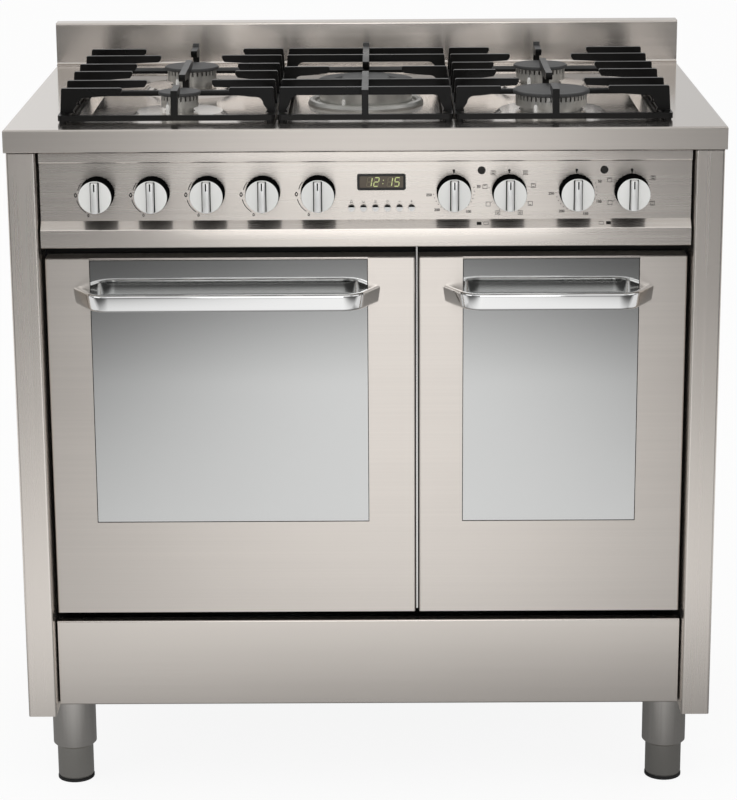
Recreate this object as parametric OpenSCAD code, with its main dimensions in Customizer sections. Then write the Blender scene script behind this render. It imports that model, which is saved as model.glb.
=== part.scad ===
// Free-standing dual-fuel range cooker, 90 cm wide.
// A five-burner gas hob with three cast pan supports stands over two electric ovens
// with drop-down doors and a storage compartment behind a drop-down flap.
// Millimetres, +Z up, +X to the cook's right, the front faces -Y.
// The origin is on the floor, under the middle of the whole cooker's outline.

/* [Overall] */
// Width of the worktop
range_w = 900; // [860:5:960]
// Depth from the worktop's front edge to the back
range_d = 600; // [590:5:640]
// Height of the worktop above the floor
hob_h = 900; // [880:5:930]
// Clear height under the body, where the feet stand
foot_h = 118; // [95:1:130]
// Thickness of the folded body sheet
sheet_t = 1.2; // [1:0.1:1.6]
// Outer radius of a fold in the body sheet
fold_r = 3; // [2:0.5:4]
// Outer radius of the worktop's front and rear edges
edge_r = 2.2; // [1.8:0.2:4]
// Radius of the rolled hem along the bottom of the worktop's front fascia
hem_r = 1.8; // [1.2:0.2:2.4]

/* [Worktop] */
// Height of the worktop's front fascia
fascia_h = 29; // [25:1:34]
// Thickness of the hob sheet
hob_t = 1.5; // [1.2:0.1:2]
// Height of the splashback above the worktop
splash_h = 61; // [40:1:100]
// Depth of the splashback's top fold
splash_d = 30; // [20:1:36]
// Width of the splashback's foot, which lies on the worktop in front of it
splash_foot = 6; // [5:0.5:12]
// Depth of the pressed well under the pan supports
well_depth = 9; // [6:0.5:12]
// How far the well's sloped wall leans in
well_slope = 10; // [6:1:16]

/* [Body] */
// How far the body sides stand in from the worktop's ends
body_inset = 2; // [1:0.5:5]
// How far the front posts stand back from the worktop's front edge
post_set = 6; // [4:1:10]
// Width of a front post's face
post_w = 36.5; // [30:0.5:40]
// How far the rear flange of a side panel turns in
rear_flange = 18; // [12:1:24]
// How far the back panel is recessed
back_recess = 20; // [16:1:26]

/* [Control panel] */
// Height of the control panel
panel_h = 121; // [116:1:128]
// How far its recessed face stands back from the worktop's front edge
panel_set = 20; // [18:1:24]
// How far its upper lip stands in front of the recessed face
lip_out = 5; // [3:1:8]
// Height of the upper lip
lip_h = 14; // [10:0.5:17]
// Radius of the upper lip's lower front edge
lip_r = 2; // [1:0.5:4]
// How far the lower strip stands in front of the recessed face
strip_out = 10; // [7:1:12]
// Height of the lower strip
strip_h = 22.5; // [18:0.5:26]
// Height of the sloped ledge over the lower strip
ledge_h = 10.5; // [7:0.5:13]
// Gap between the control panel and each post
panel_side_gap = 3; // [2:0.5:5]

/* [Knobs] */
// Distance between neighbouring knobs
knob_pitch = 69.3; // [64:0.1:72]
// Middle of the first gas knob
gas_knob_x = -336.6; // [-345:0.1:-330]
// Middle of the main oven's pair of knobs
main_pair_x = 145.5; // [140:0.5:152]
// Middle of the small oven's pair of knobs
small_pair_x = 299; // [296:0.5:315]
// Height of the knob axes above the control panel's bottom
knob_up = 68.5; // [64:0.5:72]
// Radius of a knob's skirt
knob_r = 21.75; // [18:0.25:24]
// How far a knob's grip bar stands in front of the panel
knob_reach = 38; // [34:1:42]
// Height of the grip bar over the knob's face
grip_h = 8; // [5:0.5:10]
// Width of the grip bar
grip_w = 9; // [7:0.5:12]
// Running gap between the knob's skirt and the panel
knob_gap = 0.8; // [0.5:0.1:1.2]
// Radius of a knob's spindle
spindle_r = 4; // [3:0.25:5]
// Radial running clearance of spindles and hinge pins in their bores
run_fit = 0.05; // [0.02:0.01:0.09]

/* [Clock] */
// Middle of the clock and its row of buttons
clock_x = 20; // [15:0.5:26]
// Width of the clock's bezel
clock_w = 61; // [54:1:66]
// Height of the clock's bezel
clock_h = 21; // [17:1:24]
// Height of the clock's middle above the knob axes
clock_up = 12.5; // [10:0.5:15]
// Distance between neighbouring buttons
button_pitch = 15.1; // [13:0.1:16]
// Radius of a button
button_r = 4; // [3.5:0.1:4.5]
// How far a button stands in front of the panel
button_out = 4.5; // [3.5:0.5:6]
// Travel of a button
button_travel = 2; // [1:0.5:2.5]
// How far the row of buttons lies below the knob axes
button_drop = 20.5; // [17:0.5:22]
// Radius of an indicator lamp
lamp_r = 4.7; // [4:0.1:5.5]
// Height of the lamps above the knob axes
lamp_up = 26.5; // [24:0.5:29]
// Sliding clearance round buttons, lamps and other loose fits
slide_fit = 0.3; // [0.2:0.1:0.4]

/* [Doors] */
// How far the doors' faces stand back from the worktop's front edge
door_set = 32; // [28:1:36]
// Thickness of a door
door_t = 37; // [34:1:40]
// Gap between the control panel and the doors
door_gap = 19; // [14:1:22]
// Gap between a door and the post beside it
door_side_gap = 4; // [3:0.5:8]
// Middle of the gap between the two doors
split_x = 64.6; // [50:0.1:75]
// Gap between the two doors
split_gap = 4.5; // [4:0.1:6]
// Steel border to the left of a window
border_l = 56; // [50:1:66]
// Steel border to the right of a window
border_r = 60; // [50:1:66]
// Steel border under a window
border_b = 124; // [110:1:140]
// Thickness of the door glass
glass_t = 4; // [3:0.5:5]
// Height of a door hinge's axis above the door's bottom edge
hinge_up = 8; // [7:0.5:9]
// Distance of a door hinge's axis behind the door's face
hinge_in = 13; // [12:0.5:14]
// Radius of a hinge pin
pin_r = 4; // [3.5:0.25:4.5]
// Distance of a hinge's middle from the door's edge
hinge_edge = 30; // [26:1:36]

/* [Handles] */
// Height of the handle strip
handle_h = 22; // [18:1:26]
// Thickness of the handle strip
handle_t = 8; // [7.5:0.5:10]
// Rounding of the handle strip's long edges
handle_edge = 3.5; // [1:0.25:3.5]
// How far the handle's front stands from the door's face
handle_stand = 52; // [46:1:56]
// Outer radius of the handle's bends
handle_r = 34; // [24:1:38]
// How far each handle leg leans inwards from its foot to the handle's front
handle_lean = 28.5; // [20:0.5:32]
// Height of the handle's middle below the door's top edge
handle_drop = 47; // [42:1:56]
// Distance of the main handle's foot from the door's left edge
main_handle_l = 35.5; // [34:0.5:44]
// Distance of the main handle's foot from the door's right edge
main_handle_r = 44.5; // [38:0.5:48]
// Distance of the small handle's foot from the door's left edge
small_handle_l = 31; // [28:0.5:46]
// Distance of the small handle's foot from the door's right edge
small_handle_r = 42; // [38:0.5:48]

/* [Storage flap] */
// Height of the storage flap
flap_h = 118; // [105:1:125]
// Height of the flap's bottom edge above the body's bottom
flap_lift = 6; // [5:1:10]
// Gap between the flap and the doors
flap_gap = 12; // [11:1:15]
// Depth of the flap's folded edges
flap_t = 14; // [12:1:18]
// Gap between the flap and each post
flap_side_gap = 2.5; // [2:0.5:4]
// Inset of the flap's hinge axis from its face and from its bottom edge
flap_hinge = 7; // [6:0.5:8]

/* [Ovens] */
// Width of the frame's land round an oven's mouth, beside the door's edges
mouth_side = 36; // [34:1:40]
// Width of the frame's land over and under an oven's mouth
mouth_end = 30; // [28:1:34]
// Room between the ovens' back and the back panel, where the fan's motor sits
oven_rear = 76; // [70:1:90]
// Corner radius of the oven mouths
oven_r = 18; // [12:1:24]
// Thickness of the enamelled oven wall
oven_t = 1.5; // [1.2:0.1:2]
// Height of the lower shelf above the oven's floor
shelf_low = 100; // [90:1:120]
// Height of the upper shelf above the oven's floor
shelf_high = 236; // [220:1:250]
// Radius of the shelf wires
wire_r = 2.5; // [2:0.25:3]
// Radius of the convection fan
fan_r = 74; // [60:1:80]
// Depth of the fan chamber at the back of the main oven
fan_room = 44; // [40:1:50]

/* [Hob] */
// Distance of the outer burners' middles from the cooker's middle
burner_x = 240; // [230:1:245]
// Middle of the pan supports and the wok burner behind the worktop's edge
hob_mid = 262; // [255:1:270]
// Distance of the front and rear burners from that middle
burner_y = 114.5; // [110:0.5:118]
// Radius of the auxiliary burner's cap
aux_r = 27.5; // [25:0.5:30]
// Radius of the two semi-rapid burners' caps
semi_r = 37; // [34:0.5:40]
// Radius of the rapid burner's cap
rapid_r = 49.5; // [46:0.5:52]
// Outer radius of the wok burner's outer caps
wok_r = 64; // [60:1:67]
// Radius of the wok burner's centre cap
wok_mid_r = 32; // [28:0.5:34]
// Radius of the bright drip ring round the wok burner
wok_ring_r = 77; // [74:1:80]
// Height of the caps' tops above the worktop
cap_top = 26; // [24:0.5:29]
// Thickness of a burner cap
cap_t = 5; // [4:0.5:6]
// Width of a flame slot
slot_w = 2.2; // [1.6:0.1:2.6]

/* [Pan supports] */
// Distance of the outer supports' outer edges from the cooker's middle
support_x = 387; // [382:1:392]
// Half the width of the middle support
support_mid = 110.5; // [107:0.5:114]
// Gap between neighbouring supports
support_gap = 3; // [2:0.5:4]
// Half the depth of the supports
support_y = 212; // [206:1:216]
// Height of the pan-carrying edges above the worktop
support_h = 40; // [37:1:44]
// Height of the supports' rim bars
rim_h = 7; // [6:0.5:9]
// Width of the supports' rim bars
rim_w = 12; // [10:1:14]
// Height of the small feet under the rims
pad_h = 2.5; // [2:0.5:3.5]
// Thickness of the fingers
finger_t = 6.5; // [5.5:0.5:8]
// Height of a finger at its free end
finger_h = 9; // [7:0.5:11]
// Width of a finger's leg where it meets its arm, on a support's inner side
leg_w = 15; // [12:0.5:18]
// The same on its outer side
leg_outer_w = 21; // [17:0.5:24]
// How much a leg narrows towards the rim
leg_taper = 5; // [2:0.5:7]
// Distance of the finger tips from a burner's middle
tip_r = 42; // [40:1:46]
// How much the rear ends rise to stop a pan
stop_rise = 4; // [0:1:8]

/* [Feet] */
// Distance of the feet from the cooker's middle
foot_x = 398; // [385:1:402]
// Distance of the feet from the worktop's front edge and from the back
foot_y = 85; // [75:1:95]
// Radius of a foot's sleeve
sleeve_r = 29; // [26:0.5:32]
// Radius of a foot's leg
leg_r = 24; // [21:0.5:25]
// Height of the sleeve's bottom edge above the floor
sleeve_up = 49; // [40:1:60]

/* [Hidden] */
$fn = 48;

// Distances called d below run back from the worktop's front edge.
front_reach = max(handle_stand - door_set, knob_reach - panel_set);
y_edge = front_reach - (range_d + front_reach) / 2;
// Small overrun that keeps cuts clean
over = 1;

// Heights, from the floor up
flap_z0 = foot_h + flap_lift;
flap_z1 = flap_z0 + flap_h;
door_z0 = flap_z1 + flap_gap;
panel_z1 = hob_h - fascia_h - 2;
panel_z0 = panel_z1 - panel_h;
door_z1 = panel_z0 - door_gap;
knob_z = panel_z0 + knob_up;
under_hob = hob_h - hob_t;

// Places across the width
half_w = range_w / 2;
side_x = half_w - body_inset;
post_x = side_x - post_w;
panel_x = post_x - panel_side_gap;
door_x = post_x - door_side_gap;
main_l = -door_x;
main_r = split_x - split_gap / 2;
small_l = split_x + split_gap / 2;
small_r = door_x;

// Places in depth
frame_t = 2;
seal_t = 2.7;
seal_gap = 0.3;
door_back = door_set + door_t;
frame_d = door_back + seal_t + seal_gap;
frame_back = frame_d + frame_t;
back_d = range_d - back_recess;
oven_back = back_d - oven_rear;
panel_back = panel_set + sheet_t;

// Oven mouths
mouth_z0 = door_z0 + mouth_end;
mouth_z1 = door_z1 - mouth_end;
main_mouth = [main_l + mouth_side, main_r - mouth_side];
small_mouth = [small_l + mouth_side, small_r - mouth_side];

// Base chassis: the storage housing that carries the ovens
base_x = post_x - 8;
base_z1 = flap_z1 + 4;
runner_t = 2;

// Gas rail behind the taps
rail_r = 8;
rail_d = frame_back + 14;
rail_z = knob_z - 16;
gas_inlet_x = 350;
inlet_r = 10.5;
inlet_len = 16;
inlet_end = 2;

// Hinge pieces
arm_t = 8;
ear_t = 3;
ear_gap = 0.5;
hinge_half = arm_t / 2 + ear_gap + ear_t;
hinge_plate = 40;
flap_pin_r = 3;
flap_arm_x = post_x - 24;

// Burners: place across, place in depth, cap radius
BURNERS = [
    [-burner_x, hob_mid - burner_y, aux_r],
    [-burner_x, hob_mid + burner_y, semi_r],
    [burner_x, hob_mid - burner_y, rapid_r],
    [burner_x, hob_mid + burner_y, semi_r]
];
well_z = hob_h - well_depth;
well_x = support_x - rim_w - 8;
well_y = support_y - rim_w - 6;
cup_drop = 38;

// Pan support values
rim_z = hob_h + pad_h;
rim_top = rim_z + rim_h;
support_z = hob_h + support_h;
finger_rows = [-181.5, -burner_y, -34.5, 34.5, burner_y, 181.5];

function mix(a, b, t) = a + (b - a) * t;
function arc(c, r, a0, a1, n = 8) =
    [for (i = [0:n]) c + r * [cos(mix(a0, a1, i / n)), sin(mix(a0, a1, i / n))]];
function unit(v) = v / norm(v);
function left_of(v) = [-v[1], v[0]];
// An open path with its inner corners rounded to radius r, as short straight steps
function corner(p, q, s, r, n) =
    let (
        a = unit(p - q), b = unit(s - q),
        half = acos(max(-1, min(1, a * b))) / 2,
        cut = r / tan(half),
        mid = q + unit(a + b) * (r / sin(half)),
        start = q + a * cut - mid, end = q + b * cut - mid,
        turn = sign(start[0] * end[1] - start[1] * end[0]) * acos(max(-1, min(1, start * end / (r * r))))
    )
    [for (i = [0:n]) let (w = turn * i / n)
        mid + [start[0] * cos(w) - start[1] * sin(w), start[0] * sin(w) + start[1] * cos(w)]];
function rounded_path(p, r, n = 4) =
    concat([p[0]], [for (i = [1:len(p) - 2]) each corner(p[i - 1], p[i], p[i + 1], r, n)], [p[len(p) - 1]]);
// A path moved sideways by t, with mitred corners
function moved_path(p, t) =
    [for (i = [0:len(p) - 1]) let (
        d0 = unit(i == 0 ? p[1] - p[0] : p[i] - p[i - 1]),
        d1 = unit(i == len(p) - 1 ? p[i] - p[i - 1] : p[i + 1] - p[i]),
        n0 = left_of(d0), n1 = left_of(d1)
    ) p[i] + (n0 + n1) * t / (1 + n0 * n1)];
// Outline of a folded sheet: the path, and the same path one sheet thickness to its left
function sheet(p, t) = concat(p, [for (q = [len(p) - 1:-1:0]) moved_path(p, t)[q]]);

module slab(x, d, z) translate([x[0], y_edge + d[0], z[0]]) cube([x[1] - x[0], d[1] - d[0], z[1] - z[0]]);
// Outline in (x, z) drawn out from depth d[0] to d[1]
module along_y(d) translate([0, y_edge + d[1], 0]) rotate([90, 0, 0]) linear_extrude(d[1] - d[0]) children();
// Outline in (d, z) drawn out from x[0] to x[1]
module along_x(x) translate([x[0], y_edge, 0]) rotate([90, 0, 90]) linear_extrude(x[1] - x[0]) children();
// Outline in (x, d) drawn out from z[0] to z[1]
module along_z(z) translate([0, y_edge, z[0]]) linear_extrude(z[1] - z[0]) children();
module rod_x(x, d, z, r) translate([x[0], y_edge + d, z]) rotate([0, 90, 0]) cylinder(r = r, h = x[1] - x[0]);
module rod_y(x, d, z, r) translate([x, y_edge + d[1], z]) rotate([90, 0, 0]) cylinder(r = r, h = d[1] - d[0]);
module rod_z(x, d, z, r, r2 = undef)
    translate([x, y_edge + d, z[0]]) cylinder(r1 = r, r2 = is_undef(r2) ? r : r2, h = z[1] - z[0]);
module round_rect(a, b, r) {
    translate([a[0] + r, a[1]]) square([b[0] - a[0] - 2 * r, b[1] - a[1]]);
    translate([a[0], a[1] + r]) square([b[0] - a[0], b[1] - a[1] - 2 * r]);
    for (x = [a[0] + r, b[0] - r], y = [a[1] + r, b[1] - r]) translate([x, y]) circle(r);
}
module mirror_x() {
    children();
    mirror([1, 0, 0]) children();
}

// Worktop: one pressed sheet with a fascia on all sides, a sloped well and burner platforms
module well_solid(grow) {
    hull()
        for (x = [-1, 1], y = [-1, 1])
            translate([x * (well_x - 30), y_edge + hob_mid + y * (well_y - 30), well_z - grow])
                cylinder(r1 = 30 - well_slope + grow, r2 = 30 + grow,
                    h = well_depth + (grow > 0 ? 0 : 0.01), $fn = 32);
}
module worktop_shell() {
    r = edge_r;
    hem_z = hob_h - fascia_h + hem_r;
    rod_x([-half_w, half_w], hem_r, hem_z, hem_r);
    difference() {
        along_x([-half_w, half_w])
            polygon(concat([[0, hob_h - fascia_h]], arc([r, hob_h - r], r, 180, 90),
                arc([range_d - r, hob_h - r], r, 90, 0), [[range_d, hob_h - fascia_h]]));
        slab([-half_w - over, half_w + over], [-over, hem_r], [hob_h - fascia_h - over, hem_z]);
        slab([-half_w + hob_t, half_w - hob_t], [hob_t, range_d - hob_t],
            [hob_h - fascia_h - over, under_hob]);
        mirror_x() along_y([-over, range_d + over])
            polygon(concat([[half_w + over, hob_h + over], [half_w - 2, hob_h + over]],
                arc([half_w - 2, hob_h - 2], 2, 90, 0, 4), [[half_w + over, hob_h - 2]]));
    }
}
module platform(r, grow) {
    rod_z(0, 0, [well_z - grow, hob_h - grow], r + 12, r);
}
function plat_r(cap_r) = cap_r * 0.5 + 42;
module worktop() color("silver") {
    difference() {
        union() {
            difference() {
                union() {
                    worktop_shell();
                    well_solid(hob_t);
                }
                well_solid(0);
            }
            for (b = BURNERS) translate([b[0], b[1], 0]) platform(plat_r(b[2]), 0);
        }
        for (b = BURNERS) translate([b[0], b[1], 0]) {
            difference() {
                platform(plat_r(b[2]), hob_t);
                rod_z(0, 0, [under_hob, hob_h], plat_r(b[2]) + 20);
            }
            rod_z(0, 0, [well_z - over, hob_h + over], b[2] - 8);
        }
        rod_z(0, hob_mid, [well_z - hob_t - over, hob_h + over], wok_r - 10);
    }
}

// Splashback: an upstand folded over at the top, standing on the worktop's rear edge
module splashback() color("silver") {
    d0 = range_d - splash_d;
    foot_z = hob_h + sheet_t;
    profile = rounded_path([[d0 - splash_foot, foot_z], [d0, foot_z], [d0, hob_h + splash_h],
        [range_d - 0.5, hob_h + splash_h], [range_d - 0.5, hob_h]], fold_r);
    along_x([-half_w, half_w]) polygon(sheet(profile, -sheet_t));
    mirror_x() slab([half_w - sheet_t, half_w], [d0 + sheet_t / 2, range_d - 1],
        [hob_h, hob_h + splash_h - sheet_t / 2]);
}

// Side panel: a side sheet that folds round into the front post and turns in at the rear
module side_panel() {
    profile = rounded_path([[post_x, frame_back], [post_x, post_set], [side_x, post_set],
        [side_x, range_d - 2], [side_x - rear_flange, range_d - 2]], fold_r);
    difference() {
        along_z([foot_h, under_hob]) polygon(sheet(profile, sheet_t));
        slab([post_x - over, side_x + over], [post_set - over, frame_back + over],
            [panel_z1, under_hob + over]);
    }
}
module right_side_panel() color("lightgray") side_panel();
module left_side_panel() color("lightgray") mirror([1, 0, 0]) side_panel();

// Back panel: recessed between the side panels, with vent slots and the pipe and cable holes
gland_r = 7;
gland_bore = 5;
gland_len = 12;
gland_x = -333;
terminal_x = [gland_x - 55, gland_x + 55];
terminal_t = 17;
terminal_z = [foot_h + 35, foot_h + 125];
vent_x = [-260, -60, 140];
vent_w = 120;
vent_z = hob_h - 130;
module back_panel() color("gray") difference() {
    union() {
        slab([-side_x + sheet_t, side_x - sheet_t], [back_d, back_d + sheet_t], [foot_h, under_hob]);
        slab(terminal_x, [back_d, back_d + terminal_t], terminal_z);
        rod_z(gland_x, back_d + terminal_t / 2,
            [terminal_z[0] + sheet_t - gland_len, terminal_z[0] + 1], gland_r);
    }
    slab([terminal_x[0] + sheet_t, terminal_x[1] - sheet_t], [back_d - over, back_d + terminal_t - sheet_t],
        [terminal_z[0] + sheet_t, terminal_z[1] - sheet_t]);
    rod_z(gland_x, back_d + terminal_t / 2,
        [terminal_z[0] - gland_len - over, terminal_z[0] + 5], gland_bore);
    rod_y(gas_inlet_x, [back_d - over, back_d + 5], rail_z, rail_r + slide_fit);
    for (i = [0:11], x = vent_x)
        slab([x, x + vent_w], [back_d - over, back_d + 5], [vent_z + 7 * i, vent_z + 7 * i + 3]);
}

// Base chassis: folded housing of the storage compartment; the feet are under it and the ovens on it
module base_chassis() color("darkgray") {
    difference() {
        slab([-base_x, base_x], [frame_back, back_d], [foot_h, base_z1]);
        slab([-base_x + sheet_t, base_x - sheet_t], [frame_back - over, back_d - sheet_t],
            [foot_h + sheet_t, base_z1 - sheet_t]);
    }
    mirror_x() slab([base_x, side_x - sheet_t], [frame_back, back_d], [foot_h, foot_h + sheet_t]);
}

// Front frame: one plate behind the doors with an opening for each oven, the storage and the controls
storage_x = flap_arm_x - arm_t / 2 - 6;
module front_frame() color("dimgray") {
    difference() {
        slab([-post_x, post_x], [frame_d, frame_back], [foot_h, panel_z1]);
        for (m = [main_mouth, small_mouth])
            along_y([frame_d - over, frame_back + over])
                round_rect([m[0], mouth_z0], [m[1], mouth_z1], oven_r);
        slab([-storage_x, storage_x], [frame_d - over, frame_back + over], [foot_h + 8, flap_z1 - 6]);
        slab([14 - post_x, post_x - 14], [frame_d - over, frame_back + over], [panel_z0 + 7, panel_z1 - 10]);
    }
    slab([split_x - 1, split_x + 1], [door_set + 12, frame_d], [door_z0, panel_z0 - 2]);
}

// Feet: a fixed sleeve under the chassis and a leg that screws up inside it
module at_feet() for (x = [-foot_x, foot_x], d = [foot_y, range_d - foot_y])
    translate([x, y_edge + d, 0]) children();
module foot_sleeves() color("silver") at_feet() rotate_extrude()
    polygon([[leg_r + slide_fit, sleeve_up], [sleeve_r - 3, sleeve_up], [sleeve_r, sleeve_up + 3],
        [sleeve_r, foot_h], [0, foot_h], [0, foot_h - 3], [leg_r + slide_fit, foot_h - 3]]);
module foot_legs() color("gray") at_feet() rotate_extrude()
    polygon([[0, 0], [leg_r + 0.5, 0], [leg_r + 0.5, 3], [leg_r - 1, 3.5], [leg_r - 1, 5], [leg_r, 6],
        [leg_r, foot_h - 3], [0, foot_h - 3]]);

// Fixed hinge arms: each carries the pin that a door's or the flap's ears turn on
function door_hinge_x(l, r) = [l + hinge_edge, r - hinge_edge];
hinge_d = door_set + hinge_in;
hinge_z = door_z0 + hinge_up;
flap_hinge_d = door_set + flap_hinge;
flap_hinge_z = flap_z0 + flap_hinge;
module hinge_arm(x, d, z, r, pin) {
    half = pin / 2;
    translate([x - arm_t / 2, y_edge, 0]) rotate([90, 0, 90]) linear_extrude(arm_t) polygon(concat(
        arc([d, z], r + 2.5, 90, 270, 12), [[frame_d, z - r - 2.5], [frame_d, z + r + 2.5]]));
    rod_x([x - half, x + half], d, z, r);
}
module hinge_brackets() color("darkgray") {
    for (x = concat(door_hinge_x(main_l, main_r), door_hinge_x(small_l, small_r)))
        hinge_arm(x, hinge_d, hinge_z, pin_r, 2 * hinge_half + 1);
    for (x = [-flap_arm_x, flap_arm_x])
        hinge_arm(x, flap_hinge_d, flap_hinge_z, flap_pin_r, 2 * hinge_half + 1);
}

// Control panel: folded strip with a proud lip at the top, a sloped ledge and a proud strip below
gas_knobs_x = [for (i = [0:4]) gas_knob_x + i * knob_pitch];
oven_knobs_x = [main_pair_x - knob_pitch / 2, main_pair_x + knob_pitch / 2,
    small_pair_x - knob_pitch / 2, small_pair_x + knob_pitch / 2];
buttons_x = [for (i = [0:5]) clock_x + (i - 2.5) * button_pitch];
clock_z = knob_z + clock_up;
button_z = knob_z - button_drop;
lamp_z = knob_z + lamp_up;
shaft_hole_r = spindle_r + 2;
module control_panel() color("silver") {
    strip_d = panel_set - strip_out;
    lip_d = panel_set - lip_out;
    profile = [[frame_d, panel_z1], [lip_d + 1, panel_z1], [lip_d, panel_z1 - 1],
        each arc([lip_d + lip_r, panel_z1 - lip_h + lip_r], lip_r, 180, 270, 5),
        [panel_set, panel_z1 - lip_h],
        [panel_set, panel_z0 + strip_h + ledge_h], [strip_d + 1, panel_z0 + strip_h + 1],
        [strip_d, panel_z0 + strip_h - 0.5], [strip_d, panel_z0 + 1], [strip_d + 1, panel_z0],
        [frame_d, panel_z0]];
    difference() {
        union() {
            along_x([-panel_x, panel_x]) polygon(sheet(profile, sheet_t));
            mirror_x() along_x([panel_x - sheet_t, panel_x]) polygon(profile);
        }
        for (x = concat(gas_knobs_x, oven_knobs_x))
            rod_y(x, [panel_set - over, panel_back + over], knob_z, shaft_hole_r);
        for (x = buttons_x) rod_y(x, [panel_set - over, panel_back + over], button_z, button_r + slide_fit);
        for (x = [main_pair_x, small_pair_x])
            rod_y(x, [panel_set - over, panel_back + over], lamp_z, lamp_r + slide_fit);
        slab([clock_x - clock_w / 2 + 2, clock_x + clock_w / 2 - 2], [panel_set - over, panel_back + over],
            [clock_z - clock_h / 2 + 2, clock_z + clock_h / 2 - 2]);
    }
}

// Clock: bezel and window in front of the panel, its case and button board behind it
module clock_display() color("black") {
    bezel = 1.2;
    half = [clock_w / 2, clock_h / 2];
    difference() {
        along_y([panel_set - bezel, panel_set]) translate([clock_x, clock_z]) round_rect(-half, half, 3);
        along_y([panel_set - bezel - over, panel_set - bezel + 0.6])
            translate([clock_x, clock_z]) round_rect(-half + [3, 3], half - [3, 3], 1.5);
    }
    slab([clock_x - half[0] + 2.3, clock_x + half[0] - 2.3], [panel_set - bezel / 4, panel_back + clock_case],
        [clock_z - half[1] + 2.3, clock_z + half[1] - 2.3]);
    board_d = panel_set - button_out + button_len + button_travel + slide_fit;
    board_x = 3 * button_pitch + 4.7;
    slab([clock_x - board_x, clock_x + board_x], [board_d, board_d + board_t],
        [button_z - 8, clock_z + half[1]]);
    slab([clock_x - board_x + 4, clock_x + board_x - 4], [panel_back, board_d + board_t / 2],
        [clock_z + half[1] - board_t, clock_z + half[1]]);
}
clock_case = 14;
board_t = 2.2;
button_len = 13;
module clock_button(i) color("silver") {
    d0 = panel_set - button_out;
    rod_y(buttons_x[i], [d0, d0 + button_len], button_z, button_r);
    rod_y(buttons_x[i], [panel_back + slide_fit, panel_back + slide_fit + 1.5], button_z, button_r + 1.2);
}
lamp_len = 16;
module indicator_lamps() color("black") for (x = [main_pair_x, small_pair_x]) {
    rod_y(x, [panel_set - 1.2, panel_back + lamp_len], lamp_z, lamp_r);
    rod_y(x, [panel_back, panel_back + 2], lamp_z, lamp_r + 2);
}

// Gas rail with its inlet pipe to the back, and the five taps that sit on it
module gas_rail() color("goldenrod") {
    end_x = gas_inlet_x;
    rod_x([gas_knobs_x[0] - 20, end_x + rail_r], rail_d, rail_z, rail_r);
    rod_y(end_x, [rail_d, range_d - inlet_len - inlet_end], rail_z, rail_r);
    rod_y(end_x, [range_d - inlet_len - inlet_end, range_d - inlet_end], rail_z, inlet_r);
}
tap_len = 34;
tap_r = 12;
tap_body = 14;
outlet_r = 5;
outlet_up = 26;
module gas_taps() color("gold") for (x = gas_knobs_x) difference() {
    union() {
        rod_y(x, [panel_back, panel_back + tap_len], knob_z, tap_r);
        slab([x - tap_r + 1, x + tap_r - 1], [panel_back + tap_body, rail_d - rail_r + 3],
            [rail_z - 9, knob_z + 4]);
        rod_z(x, panel_back + tap_body + 10, [knob_z + 2, knob_z + outlet_up], outlet_r);
    }
    rod_y(x, [panel_back - over, panel_back + spindle_in + over], knob_z, spindle_r + run_fit);
    rod_x([x - 20, x + 20], rail_d, rail_z, rail_r);
}
spindle_in = 18;
switch_half = 20;
switch_len = 34;
switch_neck = 6;
module oven_switches() color("whitesmoke") for (x = oven_knobs_x) difference() {
    union() {
        rod_y(x, [panel_back, panel_back + switch_neck], knob_z, 9);
        slab([x - switch_half, x + switch_half], [panel_back + switch_neck, panel_back + switch_len],
            [knob_z - switch_half, knob_z + switch_half]);
    }
    rod_y(x, [panel_back - over, panel_back + spindle_in + over], knob_z, spindle_r + run_fit);
}

// Knob: a skirt with a dished face and a grip bar across it, on its own spindle
face_r = knob_r - 1.2;
module knob(x) {
    face = knob_reach - grip_h;
    translate([x, y_edge + panel_set, knob_z]) rotate([90, 0, 0]) {
        difference() {
            union() {
                rotate_extrude() polygon(concat([[0, knob_gap], [knob_r - 1, knob_gap],
                    [knob_r, knob_gap + 1], [knob_r, knob_gap + 6], [face_r, face - 3]],
                    arc([face_r - 2, face - 2], 2, 0, 90, 4),
                    [[face_r * 0.6, face + 0.9], [0, face + 1.4]]));
                translate([0, 0, face - 6]) linear_extrude(grip_h + 6) grip_outline();
            }
            translate([0, 0, knob_gap - over]) cylinder(r = knob_r - 4, h = 7);
        }
        difference() {
            translate([0, 0, knob_gap]) cylinder(r = 7, h = 7);
            translate([0, 0, knob_gap - over]) cylinder(r = spindle_r, h = 7 + over);
        }
    }
    rod_y(x, [panel_set - knob_gap - 7, panel_back + spindle_in], knob_z, spindle_r);
}
module grip_outline() {
    half = face_r - 1;
    translate([-grip_w / 2, -half + grip_w / 4]) square([grip_w, 2 * half - grip_w / 2]);
    for (y = [-1, 1]) intersection() {
        circle(half);
        translate([-grip_w / 2, y > 0 ? 0 : -half]) square([grip_w, half]);
    }
}
module gas_knob(i) color("silver") knob(gas_knobs_x[i]);
module oven_knob(i) color("silver") knob(oven_knobs_x[i]);

// Burner bases: the injector cup under each hob hole, with its jet and gas elbow
module cup(x, d, r, z) {
    difference() {
        union() {
            rod_z(x, d, [z - hob_t - 3, z - hob_t], r + 4);
            rod_z(x, d, [z - cup_drop, z - hob_t - 3], r - 4);
        }
        rod_z(x, d, [z - cup_drop + 3, z + over], r - 6);
    }
    rod_z(x, d, [z - cup_drop + 3, z - cup_drop + 13], 5);
    rod_x([x, x + r + 6], d, z - cup_drop + 8, 4);
}
module burner_bases() color("darkgray") {
    for (b = BURNERS) cup(b[0], b[1], b[2] - 8 - slide_fit, hob_h);
    cup(0, hob_mid, wok_r - 10 - slide_fit, well_z);
}

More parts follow.
